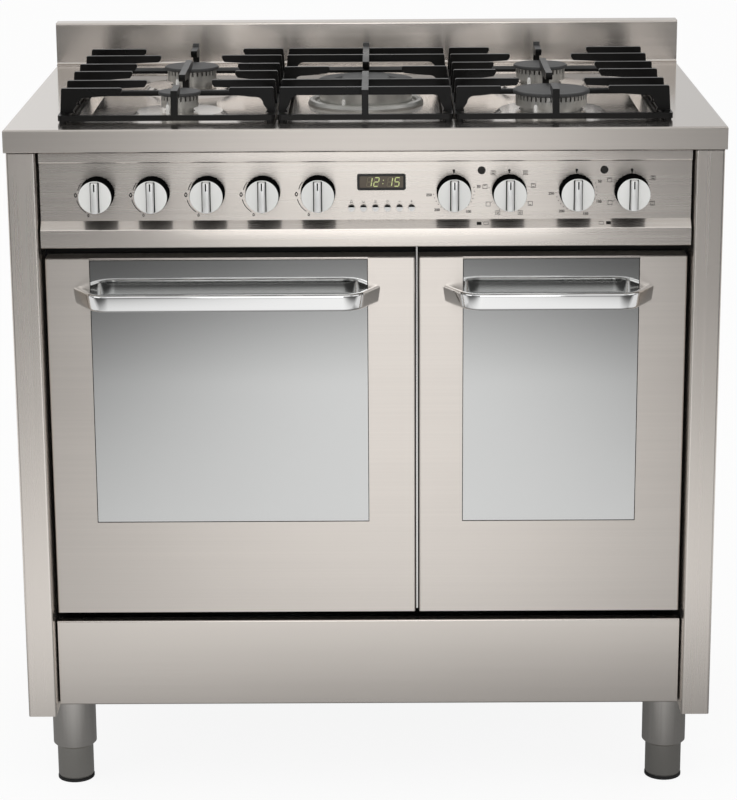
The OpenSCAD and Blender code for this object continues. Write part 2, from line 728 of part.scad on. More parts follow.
// Burner crowns: slotted aluminium rings; the wok burner has an outer ring, a core and a drip ring
module slotted_ring(r_out, r_in, z0, z1, slots, gap = 0) {
    difference() {
        rod_z(0, 0, [z0, z1], r_out);
        rod_z(0, 0, [z0 - over, z1 + over], r_in);
        translate([0, y_edge, 0]) for (i = [0:slots - 1]) rotate([0, 0, 360 * (i + 0.5) / slots])
            translate([r_in - over, -slot_w / 2, z1 - 6]) cube([r_out - r_in + 2 * over, slot_w, 6 + over]);
    }
}
crown_z0 = hob_h + 6;
crown_z1 = hob_h + cap_top - cap_t;
module crown(r, slots) {
    slotted_ring(r - 3.5, r - 12, crown_z0, crown_z1, slots);
    difference() {
        rod_z(0, 0, [under_hob, crown_z0 + 3], r - 10);
        rod_z(0, 0, [under_hob - over, crown_z0 + 4], r - 14);
    }
    rod_z(0, 0, [crown_z0 + 3, crown_z0 + 5], r - 11.5);
}
module burner_crowns() color("lightgray") {
    for (b = BURNERS) translate([b[0], b[1], 0]) crown(b[2], 2 * floor(b[2] * 0.45));
    translate([0, hob_mid, 0]) {
        slotted_ring(wok_r - 2, wok_r - 11, well_z + 4, crown_z1 - 2, 40);
        slotted_ring(wok_r - 17, wok_r - 22, well_z + 4, crown_z1 - 2, 24);
        slotted_ring(wok_mid_r - 3, wok_mid_r - 9, well_z + 4, crown_z1, 20);
        rod_z(0, 0, [well_z, well_z + 4], wok_r - 1);
        translate([0, y_edge, 0]) rotate_extrude() polygon([[wok_ring_r - 9, well_z], [wok_ring_r, well_z],
            [wok_ring_r, well_z + 2], [wok_ring_r - 2, well_z + 6], [wok_ring_r - 6, well_z + 7],
            [wok_ring_r - 9, well_z + 5]]);
        difference() {
            rod_z(0, 0, [well_z, well_z + 1.5], wok_ring_r - 8);
            rod_z(0, 0, [well_z - over, well_z + 3], wok_r - 2);
        }
    }
}
// Burner caps: enamelled lids, domed at the edge, one on each crown
module cap(r, z) translate([0, y_edge, z]) rotate_extrude()
    polygon(concat([[0, 0], [r - 2, 0], [r, 1]], arc([r - 2, cap_t - 2], 2, 0, 70, 4),
        [[r * 0.8, cap_t - 0.3], [r * 0.5, cap_t], [0, cap_t]]));
module burner_caps() color([0.25, 0.25, 0.26]) {
    for (b = BURNERS) translate([b[0], b[1], 0]) cap(b[2], crown_z1);
    translate([0, hob_mid, 0]) {
        cap(wok_mid_r, crown_z1);
        translate([0, y_edge, crown_z1 - 2]) for (i = [0:1]) rotate([0, 0, 180 * i + 8])
            rotate_extrude(angle = 164) polygon([[wok_r - 24, 0], [wok_r - 1, 0], [wok_r, 1],
                [wok_r - 1.5, cap_t - 1], [wok_r - 21, cap_t - 1], [wok_r - 24, 1.5]]);
    }
}

// Pan supports: cast frames with a rim, cross bars and fingers that point at the burners
// Side view of a finger that rises from the rim at its outer end; its free end is at length l
function finger_side(l, leg, rise = 0) = concat(
    [[0, rim_top - 1], [2, support_z - 1.2 + rise], [3.2, support_z + rise]],
    rise > 0 ? [[leg - 4, support_z + rise], [leg + 2, support_z]] : [],
    [[l - 1.2, support_z], [l, support_z - 1.2], [l, support_z - finger_h * 0.5],
    [l - finger_h * 0.35, support_z - finger_h], [leg + 18, support_z - finger_h - 2.5]],
    [for (a = [90:22.5:180]) [leg + 9 + 9 * cos(a), support_z - finger_h - 12 + 9 * sin(a)]],
    [[leg - leg_taper, rim_top + 2.5], [leg - leg_taper + 2, rim_top - 1]]);
// Side view of a bar with a leg at both ends
function bridge_side(l) = let (leg = leg_w, toe = leg - leg_taper) concat(
    [[0, rim_top - 1], [2, support_z - 1.2], [3.2, support_z], [l - 3.2, support_z], [l - 2, support_z - 1.2],
    [l, rim_top - 1], [l - toe - 2, rim_top - 1], [l - toe, rim_top + 2.5]],
    [for (a = [0:22.5:90]) [l - leg - 9 + 9 * cos(a), support_z - finger_h - 10 + 9 * sin(a)]],
    [for (a = [90:22.5:180]) [leg + 9 + 9 * cos(a), support_z - finger_h - 10 + 9 * sin(a)]],
    [[toe, rim_top + 2.5], [toe + 2, rim_top - 1]]);
// A finger from x, pointing along +X or, when turned, along -X, at depth d
module finger_across(x, d, l, way, leg) translate([x, y_edge + d + finger_t / 2, 0])
    mirror([way < 0 ? 1 : 0, 0, 0]) rotate([90, 0, 0]) linear_extrude(finger_t) polygon(finger_side(l, leg));
// A finger from depth d, pointing back or, when turned, forward, at x
module finger_along(x, d, l, way, rise = 0) translate([x - finger_t / 2 - 1, y_edge + d, 0])
    mirror([0, way < 0 ? 1 : 0, 0]) rotate([90, 0, 90])
        linear_extrude(finger_t + 2) polygon(finger_side(l, rim_w, rise));
module rim(x0, x1) {
    d0 = hob_mid - support_y;
    d1 = hob_mid + support_y;
    difference() {
        along_z([rim_z, rim_top]) round_rect([x0, d0], [x1, d1], 5);
        slab([x0 + rim_w, x1 - rim_w], [d0 + rim_w, d1 - rim_w], [rim_z - over, rim_top + over]);
        rim_slope(x0 + rim_w, x1 - rim_w, d0 + rim_w, d1 - rim_w);
    }
    for (x = [x0 + rim_w / 2, x1 - rim_w / 2], d = [d0 + rim_w / 2, d1 - rim_w / 2]) support_pad(x, d);
}
// The cut that slopes the rim's top down towards its inside
module rim_slope(x0, x1, d0, d1) {
    lean = rim_w * 0.55;
    hull() {
        slab([x0, x1], [d0, d1], [rim_top - rim_h * 0.45, rim_top]);
        slab([x0 - lean, x1 + lean], [d0 - lean, d1 + lean], [rim_top, rim_top + over]);
    }
}
// A cross bar with a rounded top
module cross_bar(x0, x1, d) along_x([x0, x1]) polygon(concat([[d - rim_w / 2, rim_z]],
    [for (a = [180:-30:0]) [d + rim_w / 2 * cos(a), rim_top - rim_h / 2 + rim_h / 2 * sin(a)]],
    [[d + rim_w / 2, rim_z]]));
module support_pad(x, d) rod_z(x, d, [hob_h, rim_z + over], rim_w / 2 - 1.5);
module outer_support(side) {
    x0 = support_mid + support_gap;
    x1 = support_x;
    mirror([side < 0 ? 1 : 0, 0, 0]) {
        rim(x0, x1);
        support_pad(x1 - rim_w / 2, hob_mid);
        cross_bar(x0 + over, x1 - over, hob_mid);
        for (i = [0:5]) {
            reach = i == 1 || i == 4 ? tip_r : tip_r + 26;
            d = hob_mid + finger_rows[i];
            finger_across(x0 + 0.5, d, burner_x - reach - x0 - 0.5, 1, leg_w);
            finger_across(x1 - 0.5, d, x1 - 0.5 - burner_x - reach, -1, leg_outer_w);
        }
        fore = support_y - burner_y - tip_r;
        finger_along(burner_x, hob_mid - support_y, fore, 1);
        finger_along(burner_x, hob_mid + support_y, fore, -1, stop_rise);
        centre_finger(burner_x, burner_y - tip_r);
    }
}
// The bar over the cross bar whose two ends reach towards the front and the rear burner
module centre_finger(x, half) translate([x - finger_t / 2 - 1, y_edge + hob_mid, 0]) rotate([90, 0, 90])
    linear_extrude(finger_t + 2) polygon(concat(
        [[-half, support_z - 3], [-half + 3, support_z], [half - 3, support_z], [half, support_z - 3],
        [half, support_z - finger_h + 3], [half - 3, support_z - finger_h], [18, support_z - finger_h - 3]],
        [[9, support_z - finger_h - 8], [7, rim_top + 3], [rim_w / 2, rim_top - 1], [-rim_w / 2, rim_top - 1],
        [-7, rim_top + 3], [-9, support_z - finger_h - 8], [-18, support_z - finger_h - 3]],
        [[-half + 3, support_z - finger_h], [-half, support_z - finger_h + 3]]));
module pan_support_left() color([0.13, 0.13, 0.14]) outer_support(-1);
module pan_support_right() color([0.13, 0.13, 0.14]) outer_support(1);
module pan_support_middle() color([0.13, 0.13, 0.14]) {
    x = support_mid;
    rim(-x, x);
    for (i = [0, 1, 4, 5]) translate([-x + 0.5, y_edge + hob_mid + finger_rows[i] + finger_t / 2, 0])
        rotate([90, 0, 0]) linear_extrude(finger_t) polygon(bridge_side(2 * x - 1));
    mirror_x() finger_across(x - 0.5, hob_mid, x - 0.5 - tip_r - 6, -1, leg_w);
    finger_along(0, hob_mid - support_y, support_y - tip_r, 1);
    finger_along(0, hob_mid + support_y, support_y - tip_r, -1, stop_rise);
}

// Oven cavities: enamelled boxes hung on a flange behind the front frame, on two runners
module cavity(m, fan) {
    a = [m[0], mouth_z0];
    b = [m[1], mouth_z1];
    difference() {
        union() {
            along_y([frame_back, frame_back + oven_t]) round_rect(a - [16, 16], b + [16, 16], oven_r);
            along_y([frame_back, oven_back + oven_t])
                round_rect(a - [oven_t, oven_t], b + [oven_t, oven_t], oven_r);
            for (x = [m[0] + 50, m[1] - 50]) slab([x - runner_t, x + runner_t],
                [frame_back + 20, oven_back - 20], [base_z1, mouth_z0 - oven_t / 2]);
        }
        along_y([frame_back - over, oven_back]) round_rect(a, b, oven_r);
        if (fan) rod_y((m[0] + m[1]) / 2, [oven_back - over, oven_back + 5], fan_z, motor_neck_r + 1);
    }
}
fan_z = (mouth_z0 + mouth_z1) / 2;
fan_x = (main_mouth[0] + main_mouth[1]) / 2;
module main_oven_cavity() color("dimgray") cavity(main_mouth, true);
module small_oven_cavity() color("dimgray") cavity(small_mouth, false);

// Seals: a soft ring on the frame round each oven mouth
module oven_seals() color("black") for (m = [main_mouth, small_mouth])
    along_y([frame_d - seal_t, frame_d]) difference() {
        round_rect([m[0] - 11, mouth_z0 - 11], [m[1] + 11, mouth_z1 + 11], oven_r);
        round_rect([m[0] - 3, mouth_z0 - 3], [m[1] + 3, mouth_z1 + 3], oven_r - 6);
    }

// Shelf guides: a wire ladder on each side wall of each oven
guide_x = wire_r + slide_fit;
guide_d = [frame_back + 30, oven_back - fan_room - 20];
guide_levels = [shelf_low - 68, shelf_low, (shelf_low + shelf_high) / 2, shelf_high, shelf_high + 68];
module guide(wall, way) {
    x = wall + way * guide_x;
    for (d = guide_d) {
        rod_z(x, d, [mouth_z0 + 20, mouth_z1 - 70], wire_r);
        for (z = [mouth_z0 + 26, mouth_z1 - 76])
            rod_x([min(wall, x), max(wall, x)], d, z, wire_r + 0.5);
    }
    for (z = guide_levels) rod_y(x, [guide_d[0] - 8, guide_d[1] + 8], mouth_z0 + z, wire_r);
}
module shelf_guides() color("silver") for (m = [main_mouth, small_mouth]) {
    guide(m[0], 1);
    guide(m[1], -1);
}

// Shelves: wire grids that lie on the guides
module shelf(m, z) {
    x0 = m[0] + 4 * wire_r + 2;
    x1 = m[1] - 4 * wire_r - 2;
    d = [guide_d[0] + 8, guide_d[1] - 12];
    for (i = [0, 1]) rod_x([m[0] + wire_r + 0.5, m[1] - wire_r - 0.5], d[i], z, wire_r);
    for (x = [x0, x1]) rod_y(x, [d[0] - wire_r / 2, d[1] + wire_r / 2], z + wire_r, wire_r);
    count = floor((x1 - x0) / 24);
    for (i = [1:count - 1])
        rod_y(mix(x0, x1, i / count), [d[0] - wire_r / 2, d[1] + wire_r / 2], z + wire_r + 0.4, wire_r * 0.7);
}
module oven_shelves() color("silver") for (m = [main_mouth, small_mouth], z = [shelf_low, shelf_high])
    shelf(m, mouth_z0 + z + 2 * wire_r + 0.05);

// Grill elements: a looped heating rod under each oven's ceiling, fixed through the back wall
grill_r = 3.5;
grill_bend = 16;
module grill(m) {
    last = 2 * floor((m[1] - m[0] - 60) / (4 * grill_bend)) - 1;
    start = (m[0] + m[1] - 2 * grill_bend * last) / 2;
    z = mouth_z1 - 26;
    d0 = frame_back + 60;
    d1 = oven_back - 90;
    for (i = [0:last])
        rod_y(start + 2 * grill_bend * i, [d0, i == 0 || i == last ? oven_back : d1], z, grill_r);
    for (i = [0:last - 1]) translate([start + grill_bend * (2 * i + 1), y_edge + (i % 2 == 0 ? d0 : d1), z])
        rotate([0, 0, i % 2 == 0 ? 180 : 0])
            rotate_extrude(angle = 180) translate([grill_bend, 0]) circle(grill_r);
}
module grill_elements() color("gray") {
    grill(main_mouth);
    grill(small_mouth);
}

// Fan: cover plate with a slotted grille, ring heating element, impeller and its motor
cover_d = oven_back - fan_room;
module fan_cover() color("dimgray") difference() {
    union() {
        along_y([cover_d, cover_d + oven_t]) round_rect([main_mouth[0] + 2, mouth_z0 + 2],
            [main_mouth[1] - 2, mouth_z1 - 36], oven_r - 2);
        for (x = [main_mouth[0] + 30, main_mouth[1] - 30], z = [mouth_z0 + 50, mouth_z1 - 90])
            rod_y(x, [cover_d + oven_t - 0.01, oven_back], z, 6);
    }
    for (i = [-6:6]) let (h = fan_r * 0.8 * sqrt(1 - i * i / 49))
        slab([fan_x + i * 9 - 2.5, fan_x + i * 9 + 2.5], [cover_d - over, cover_d + oven_t + over],
            [fan_z - h, fan_z + h]);
    for (side = [-1, 1], i = [0:4]) slab([fan_x + side * 130 - 22, fan_x + side * 130 + 22],
        [cover_d - over, cover_d + oven_t + over], [fan_z - 62 + 28 * i, fan_z - 54 + 28 * i]);
}
module ring_element() color("gray") {
    translate([fan_x, y_edge + cover_d + 16, fan_z]) rotate([90, 0, 0]) rotate_extrude(angle = 320, $fn = 64)
        translate([fan_r + 16, 0]) circle(grill_r);
    for (a = [0, 320]) rod_y(fan_x + (fan_r + 16) * cos(a), [cover_d + 11, oven_back],
        fan_z + (fan_r + 16) * sin(a), grill_r + 1.5);
}
shaft_r = 3;
shaft_len = oven_rear - 30;
motor_r = 36;
motor_neck_r = 11;
motor_neck = 6;
motor_air = 16;
module fan_motor() color("silver") {
    end = back_d - motor_air;
    difference() {
        rod_y(fan_x, [oven_back - motor_neck, end], fan_z, motor_neck_r);
        rod_y(fan_x, [oven_back - motor_neck - over, oven_back + shaft_len + 4], fan_z, shaft_r + run_fit);
    }
    difference() {
        rod_y(fan_x, [oven_back + oven_t, end - 12], fan_z, motor_r);
        rod_y(fan_x, [oven_back, end - 10], fan_z, motor_neck_r - 1);
    }
}
hub_r = 9;
module oven_fan() color("silver") {
    d0 = cover_d + 10;
    d1 = oven_back - motor_neck - 2;
    rod_y(fan_x, [d0, oven_back + shaft_len], fan_z, shaft_r);
    rod_y(fan_x, [d1 - 2, d1], fan_z, fan_r - 6);
    rod_y(fan_x, [d0, d1], fan_z, hub_r);
    translate([fan_x, y_edge, fan_z]) for (i = [0:11]) rotate([0, 30 * i, 0])
        translate([fan_r - 26, d0, -0.8]) rotate([0, 28, 0]) cube([26, d1 - d0, 1.6]);
}

// Doors: a steel skin that frames the window on three sides, two panes, a liner, a handle and hinges
skin_t = sheet_t;
liner_t = 1.2;
notch_half = hinge_half + 2.5;
module hinge_notches(l, r) for (x = door_hinge_x(l, r))
    slab([x - arm_t / 2 - 1, x + arm_t / 2 + 1], [hinge_d - 8, door_back + over],
        [door_z0 - over, hinge_z + pin_r + 3.5]);
module door_panel(l, r) {
    window = [l + border_l, r - border_r];
    side = door_set + door_t - liner_t;
    profile = rounded_path([[l, side], [l, door_set], [r, door_set], [r, side]], fold_r - 1);
    difference() {
        union() {
            along_z([door_z0, door_z1]) polygon(sheet(profile, skin_t));
            slab([l + 1, r - 1], [door_set + 1, side], [door_z0, door_z0 + skin_t]);
            slab([l + skin_t / 2, r - skin_t / 2], [door_set + skin_t + glass_t, side],
                [door_z1 - skin_t, door_z1]);
        }
        slab(window, [door_set - over, door_set + skin_t + 0.5], [door_z0 + border_b, door_z1 + over]);
        hinge_notches(l, r);
    }
}
// The outer pane lies behind the skin's borders and fills the window flush with a raised field
module outer_glass(l, r) {
    window = [l + border_l, r - border_r];
    slab([window[0] - 12, window[1] + 12], [door_set + skin_t, door_set + skin_t + glass_t],
        [door_z0 + border_b - 12, door_z1 - skin_t - 0.2]);
    slab([window[0] + 0.4, window[1] - 0.4], [door_set + 0.4, door_set + skin_t + 0.1],
        [door_z0 + border_b + 0.4, door_z1 - skin_t - 0.2]);
}
module liner(l, r) {
    a = [l + mouth_side + 12, door_z0 + mouth_end + 14];
    b = [r - mouth_side - 12, door_z1 - mouth_end - 14];
    difference() {
        union() {
            slab([l + 1, r - 1], [door_back - liner_t, door_back], [door_z0 + 1, door_z1 - 1]);
            along_y([door_back - 14, door_back]) round_rect(a - [8, 8], b + [8, 8], oven_r);
        }
        along_y([door_back - 14 - over, door_back + over]) round_rect(a, b, oven_r - 6);
        along_y([door_back - 14 - over, door_back - 14 + glass_t])
            round_rect(a - [5, 5], b + [5, 5], oven_r - 4);
        hinge_notches(l, r);
    }
}
module inner_glass(l, r) {
    a = [l + mouth_side + 12, door_z0 + mouth_end + 14];
    b = [r - mouth_side - 12, door_z1 - mouth_end - 14];
    along_y([door_back - 14, door_back - 14 + glass_t])
        round_rect(a - [4.7, 4.7], b + [4.7, 4.7], oven_r - 4);
}
// Handle: a strip with rounded long edges, bent forward on two leaning legs that end on the door's face
strip_section = concat(
    arc([handle_edge, handle_h / 2 - handle_edge], handle_edge, 180, 90, 4),
    arc([handle_t - handle_edge, handle_h / 2 - handle_edge], handle_edge, 90, 0, 4),
    arc([handle_t - handle_edge, handle_edge - handle_h / 2], handle_edge, 0, -90, 4),
    arc([handle_edge, handle_edge - handle_h / 2], handle_edge, -90, -180, 4));
// A section of (distance to the path's left, height) points drawn along a flat path
module drawn_along(path, section) {
    n = len(section);
    last = len(path) - 1;
    lines = [for (s = section) moved_path(path, s[0])];
    polyhedron(
        [for (i = [0:last], j = [0:n - 1]) [lines[j][i][0], lines[j][i][1], section[j][1]]],
        concat([[for (j = [n - 1:-1:0]) j]], [[for (j = [0:n - 1]) last * n + j]],
            [for (i = [0:last - 1], j = [0:n - 1]) let (k = (j + 1) % n)
                [i * n + j, i * n + k, (i + 1) * n + k, (i + 1) * n + j]]));
}
module door_handle(x0, x1) {
    front = door_set - handle_stand;
    root = handle_lean * handle_t / handle_stand;
    path = rounded_path([[x0 - root, door_set + handle_t], [x0 + handle_lean, front],
        [x1 - handle_lean, front], [x1 + root, door_set + handle_t]], handle_r, 10);
    z = door_z1 - handle_drop;
    difference() {
        translate([0, y_edge, z]) drawn_along(path, strip_section);
        slab([x0 - handle_stand, x1 + handle_stand], [door_set, door_set + 3 * handle_t],
            [z - handle_h, z + handle_h]);
    }
}
// A hinge: two ears on the pin and the plate that joins them above the arm
module hinge_ears(x, d, z, r, ear_r, plate_d, plate_z) {
    difference() {
        union() {
            for (s = [-1, 1]) translate([x + s * (arm_t / 2 + ear_gap + ear_t / 2) - ear_t / 2, y_edge, 0])
                rotate([90, 0, 90]) linear_extrude(ear_t)
                    polygon(concat(arc([d, z], ear_r, 180, 360, 12), [[plate_d[1], plate_z[0]],
                        [plate_d[1], plate_z[1]], [plate_d[0], plate_z[1]], [plate_d[0], z]]));
            slab([x - hinge_half, x + hinge_half], plate_d, plate_z);
        }
        rod_x([x - 20, x + 20], d, z, r + run_fit);
    }
}
module door_hinges(l, r) for (x = door_hinge_x(l, r))
    hinge_ears(x, hinge_d, hinge_z, pin_r, hinge_up - skin_t, [hinge_d - 7, door_back - liner_t],
        [hinge_z + pin_r + 8, hinge_z + hinge_plate]);

module main_door_panel() color("silver") door_panel(main_l, main_r);
module main_door_outer_glass() color([0.6, 0.6, 0.6, 0.8]) outer_glass(main_l, main_r);
module main_door_inner_glass() color([0.6, 0.6, 0.6, 0.6]) inner_glass(main_l, main_r);
module main_door_liner() color("dimgray") liner(main_l, main_r);
module main_door_handle() color("white") door_handle(main_l + main_handle_l, main_r - main_handle_r);
module main_door_hinges() color("gray") door_hinges(main_l, main_r);
module small_door_panel() color("silver") door_panel(small_l, small_r);
module small_door_outer_glass() color([0.6, 0.6, 0.6, 0.8]) outer_glass(small_l, small_r);
module small_door_inner_glass() color([0.6, 0.6, 0.6, 0.6]) inner_glass(small_l, small_r);
module small_door_liner() color("dimgray") liner(small_l, small_r);
module small_door_handle() color("white") door_handle(small_l + small_handle_l, small_r - small_handle_r);
module small_door_hinges() color("gray") door_hinges(small_l, small_r);

// Storage flap: a panel with folded edges and two hinge ears at its bottom corners
module storage_flap() color("silver") {
    x = post_x - flap_side_gap;
    top = rounded_path([[door_set + flap_t, flap_z1], [door_set, flap_z1], [door_set, flap_z0],
        [door_set + flap_t, flap_z0]], fold_r - 1);
    difference() {
        union() {
            along_x([-x, x]) polygon(sheet(top, sheet_t));
            mirror_x() slab([x - sheet_t, x], [door_set + 1, door_set + flap_t], [flap_z0 + 1, flap_z1 - 1]);
        }
        for (s = [-flap_arm_x, flap_arm_x]) slab([s - arm_t / 2 - 1, s + arm_t / 2 + 1],
            [flap_hinge_d - 6.2, door_set + flap_t + over], [flap_z0 - over, flap_z0 + sheet_t + over]);
    }
    for (s = [-flap_arm_x, flap_arm_x])
        hinge_ears(s, flap_hinge_d, flap_hinge_z, flap_pin_r, flap_hinge - sheet_t / 2,
            [door_set + sheet_t - 0.2, door_set + flap_t], [flap_hinge_z + flap_pin_r + 4, flap_hinge_z + 24]);
}

worktop();
splashback();
left_side_panel();
right_side_panel();
back_panel();
base_chassis();
front_frame();
foot_sleeves();
foot_legs();
hinge_brackets();
control_panel();
clock_display();
indicator_lamps();
gas_rail();
gas_taps();
oven_switches();
burner_bases();
burner_crowns();
burner_caps();
main_oven_cavity();
small_oven_cavity();
oven_seals();
shelf_guides();
oven_shelves();
grill_elements();
fan_cover();
ring_element();
fan_motor();
oven_fan();
main_door_panel();
main_door_outer_glass();
main_door_inner_glass();
main_door_liner();
main_door_handle();
main_door_hinges();
small_door_panel();
small_door_outer_glass();
small_door_inner_glass();
small_door_liner();
small_door_handle();
small_door_hinges();
storage_flap();
pan_support_left();
pan_support_middle();
pan_support_right();
gas_knob(0);  // gas_knob_1
gas_knob(1);  // gas_knob_2
gas_knob(2);  // gas_knob_3
gas_knob(3);  // gas_knob_4
gas_knob(4);  // gas_knob_5
oven_knob(0);  // main_thermostat_knob
oven_knob(1);  // main_selector_knob
oven_knob(2);  // small_thermostat_knob
oven_knob(3);  // small_selector_knob
clock_button(0);  // clock_button_1
clock_button(1);  // clock_button_2
clock_button(2);  // clock_button_3
clock_button(3);  // clock_button_4
clock_button(4);  // clock_button_5
clock_button(5);  // clock_button_6
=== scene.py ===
"""Range cooker: finishes, fine pieces, studio and camera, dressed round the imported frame.

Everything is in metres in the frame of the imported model: +X to the cook's right, +Y to the
back, +Z up, with the floor at zero. Sizes that the frame holds are read from it.
"""

import itertools
import logging
import math
from collections.abc import Callable, Iterable, Sequence
from dataclasses import dataclass
from enum import Enum

import bmesh
import bpy
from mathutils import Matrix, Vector

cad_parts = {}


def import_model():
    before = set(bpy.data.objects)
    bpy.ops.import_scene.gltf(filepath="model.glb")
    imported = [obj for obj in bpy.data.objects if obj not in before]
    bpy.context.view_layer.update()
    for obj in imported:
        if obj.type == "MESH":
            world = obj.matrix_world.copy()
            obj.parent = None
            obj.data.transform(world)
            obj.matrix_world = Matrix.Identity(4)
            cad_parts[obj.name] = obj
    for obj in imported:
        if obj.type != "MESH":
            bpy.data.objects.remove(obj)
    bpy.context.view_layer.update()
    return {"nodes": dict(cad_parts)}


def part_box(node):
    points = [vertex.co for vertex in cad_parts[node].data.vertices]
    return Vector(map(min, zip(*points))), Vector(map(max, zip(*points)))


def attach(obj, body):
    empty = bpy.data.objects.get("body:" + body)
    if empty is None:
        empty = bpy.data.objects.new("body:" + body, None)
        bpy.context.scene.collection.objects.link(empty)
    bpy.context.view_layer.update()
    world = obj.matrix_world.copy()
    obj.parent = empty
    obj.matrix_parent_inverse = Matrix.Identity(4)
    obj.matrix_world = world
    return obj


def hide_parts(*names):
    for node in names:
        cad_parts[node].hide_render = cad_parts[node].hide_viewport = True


log = logging.getLogger("range_cooker")

Flat = tuple[float, float]
Solid = tuple[float, float, float]
Colour = tuple[float, float, float]
Placing = Callable[[float, float, float], Solid]
Socket = bpy.types.NodeSocket
Nodes = dict[str, bpy.types.Object]

MM = 0.001

# Places in the cooker: the recessed face of the panel, the worktop's fascia, the steel strip of
# the front frame, the height above which a button is painted black as shade, the top of a foot's
# pad, and the wok burner
PANEL_Y = -270.0 * MM
FASCIA_Y = -289.5 * MM
FRAME_STRIP_Y = -219.5 * MM
BUTTON_PAINTED_SHADE_Z = 797.6 * MM
PAD_TOP_Z = 4.5 * MM
WOK_CENTRE: Flat = (0.0, -28.0 * MM)
WOK_RING_RADIUS = 66.5 * MM

STEEL: Colour = (0.76, 0.708, 0.658)
# Almost +X: the small Y and Z parts give sheets that face +X or -X a direction too
ALONG_SHEETS: Solid = (1.0, 0.02, 0.013)

# The share of a noise field's range where most of its values lie, and a wider share
NOISE_MIDDLE: Flat = (0.3, 0.7)
NOISE_WIDE: Flat = (0.2, 0.8)
UNIT: Flat = (0.0, 1.0)
# How far the back of a print lies inside the sheet that bears it
INK_IN = 0.01 * MM
# The seven segments of a digit are lettered clockwise from the top, with the middle one last
LIT_SEGMENTS = {"1": "bc", "2": "abged", "5": "afgcd"}


# Node trees


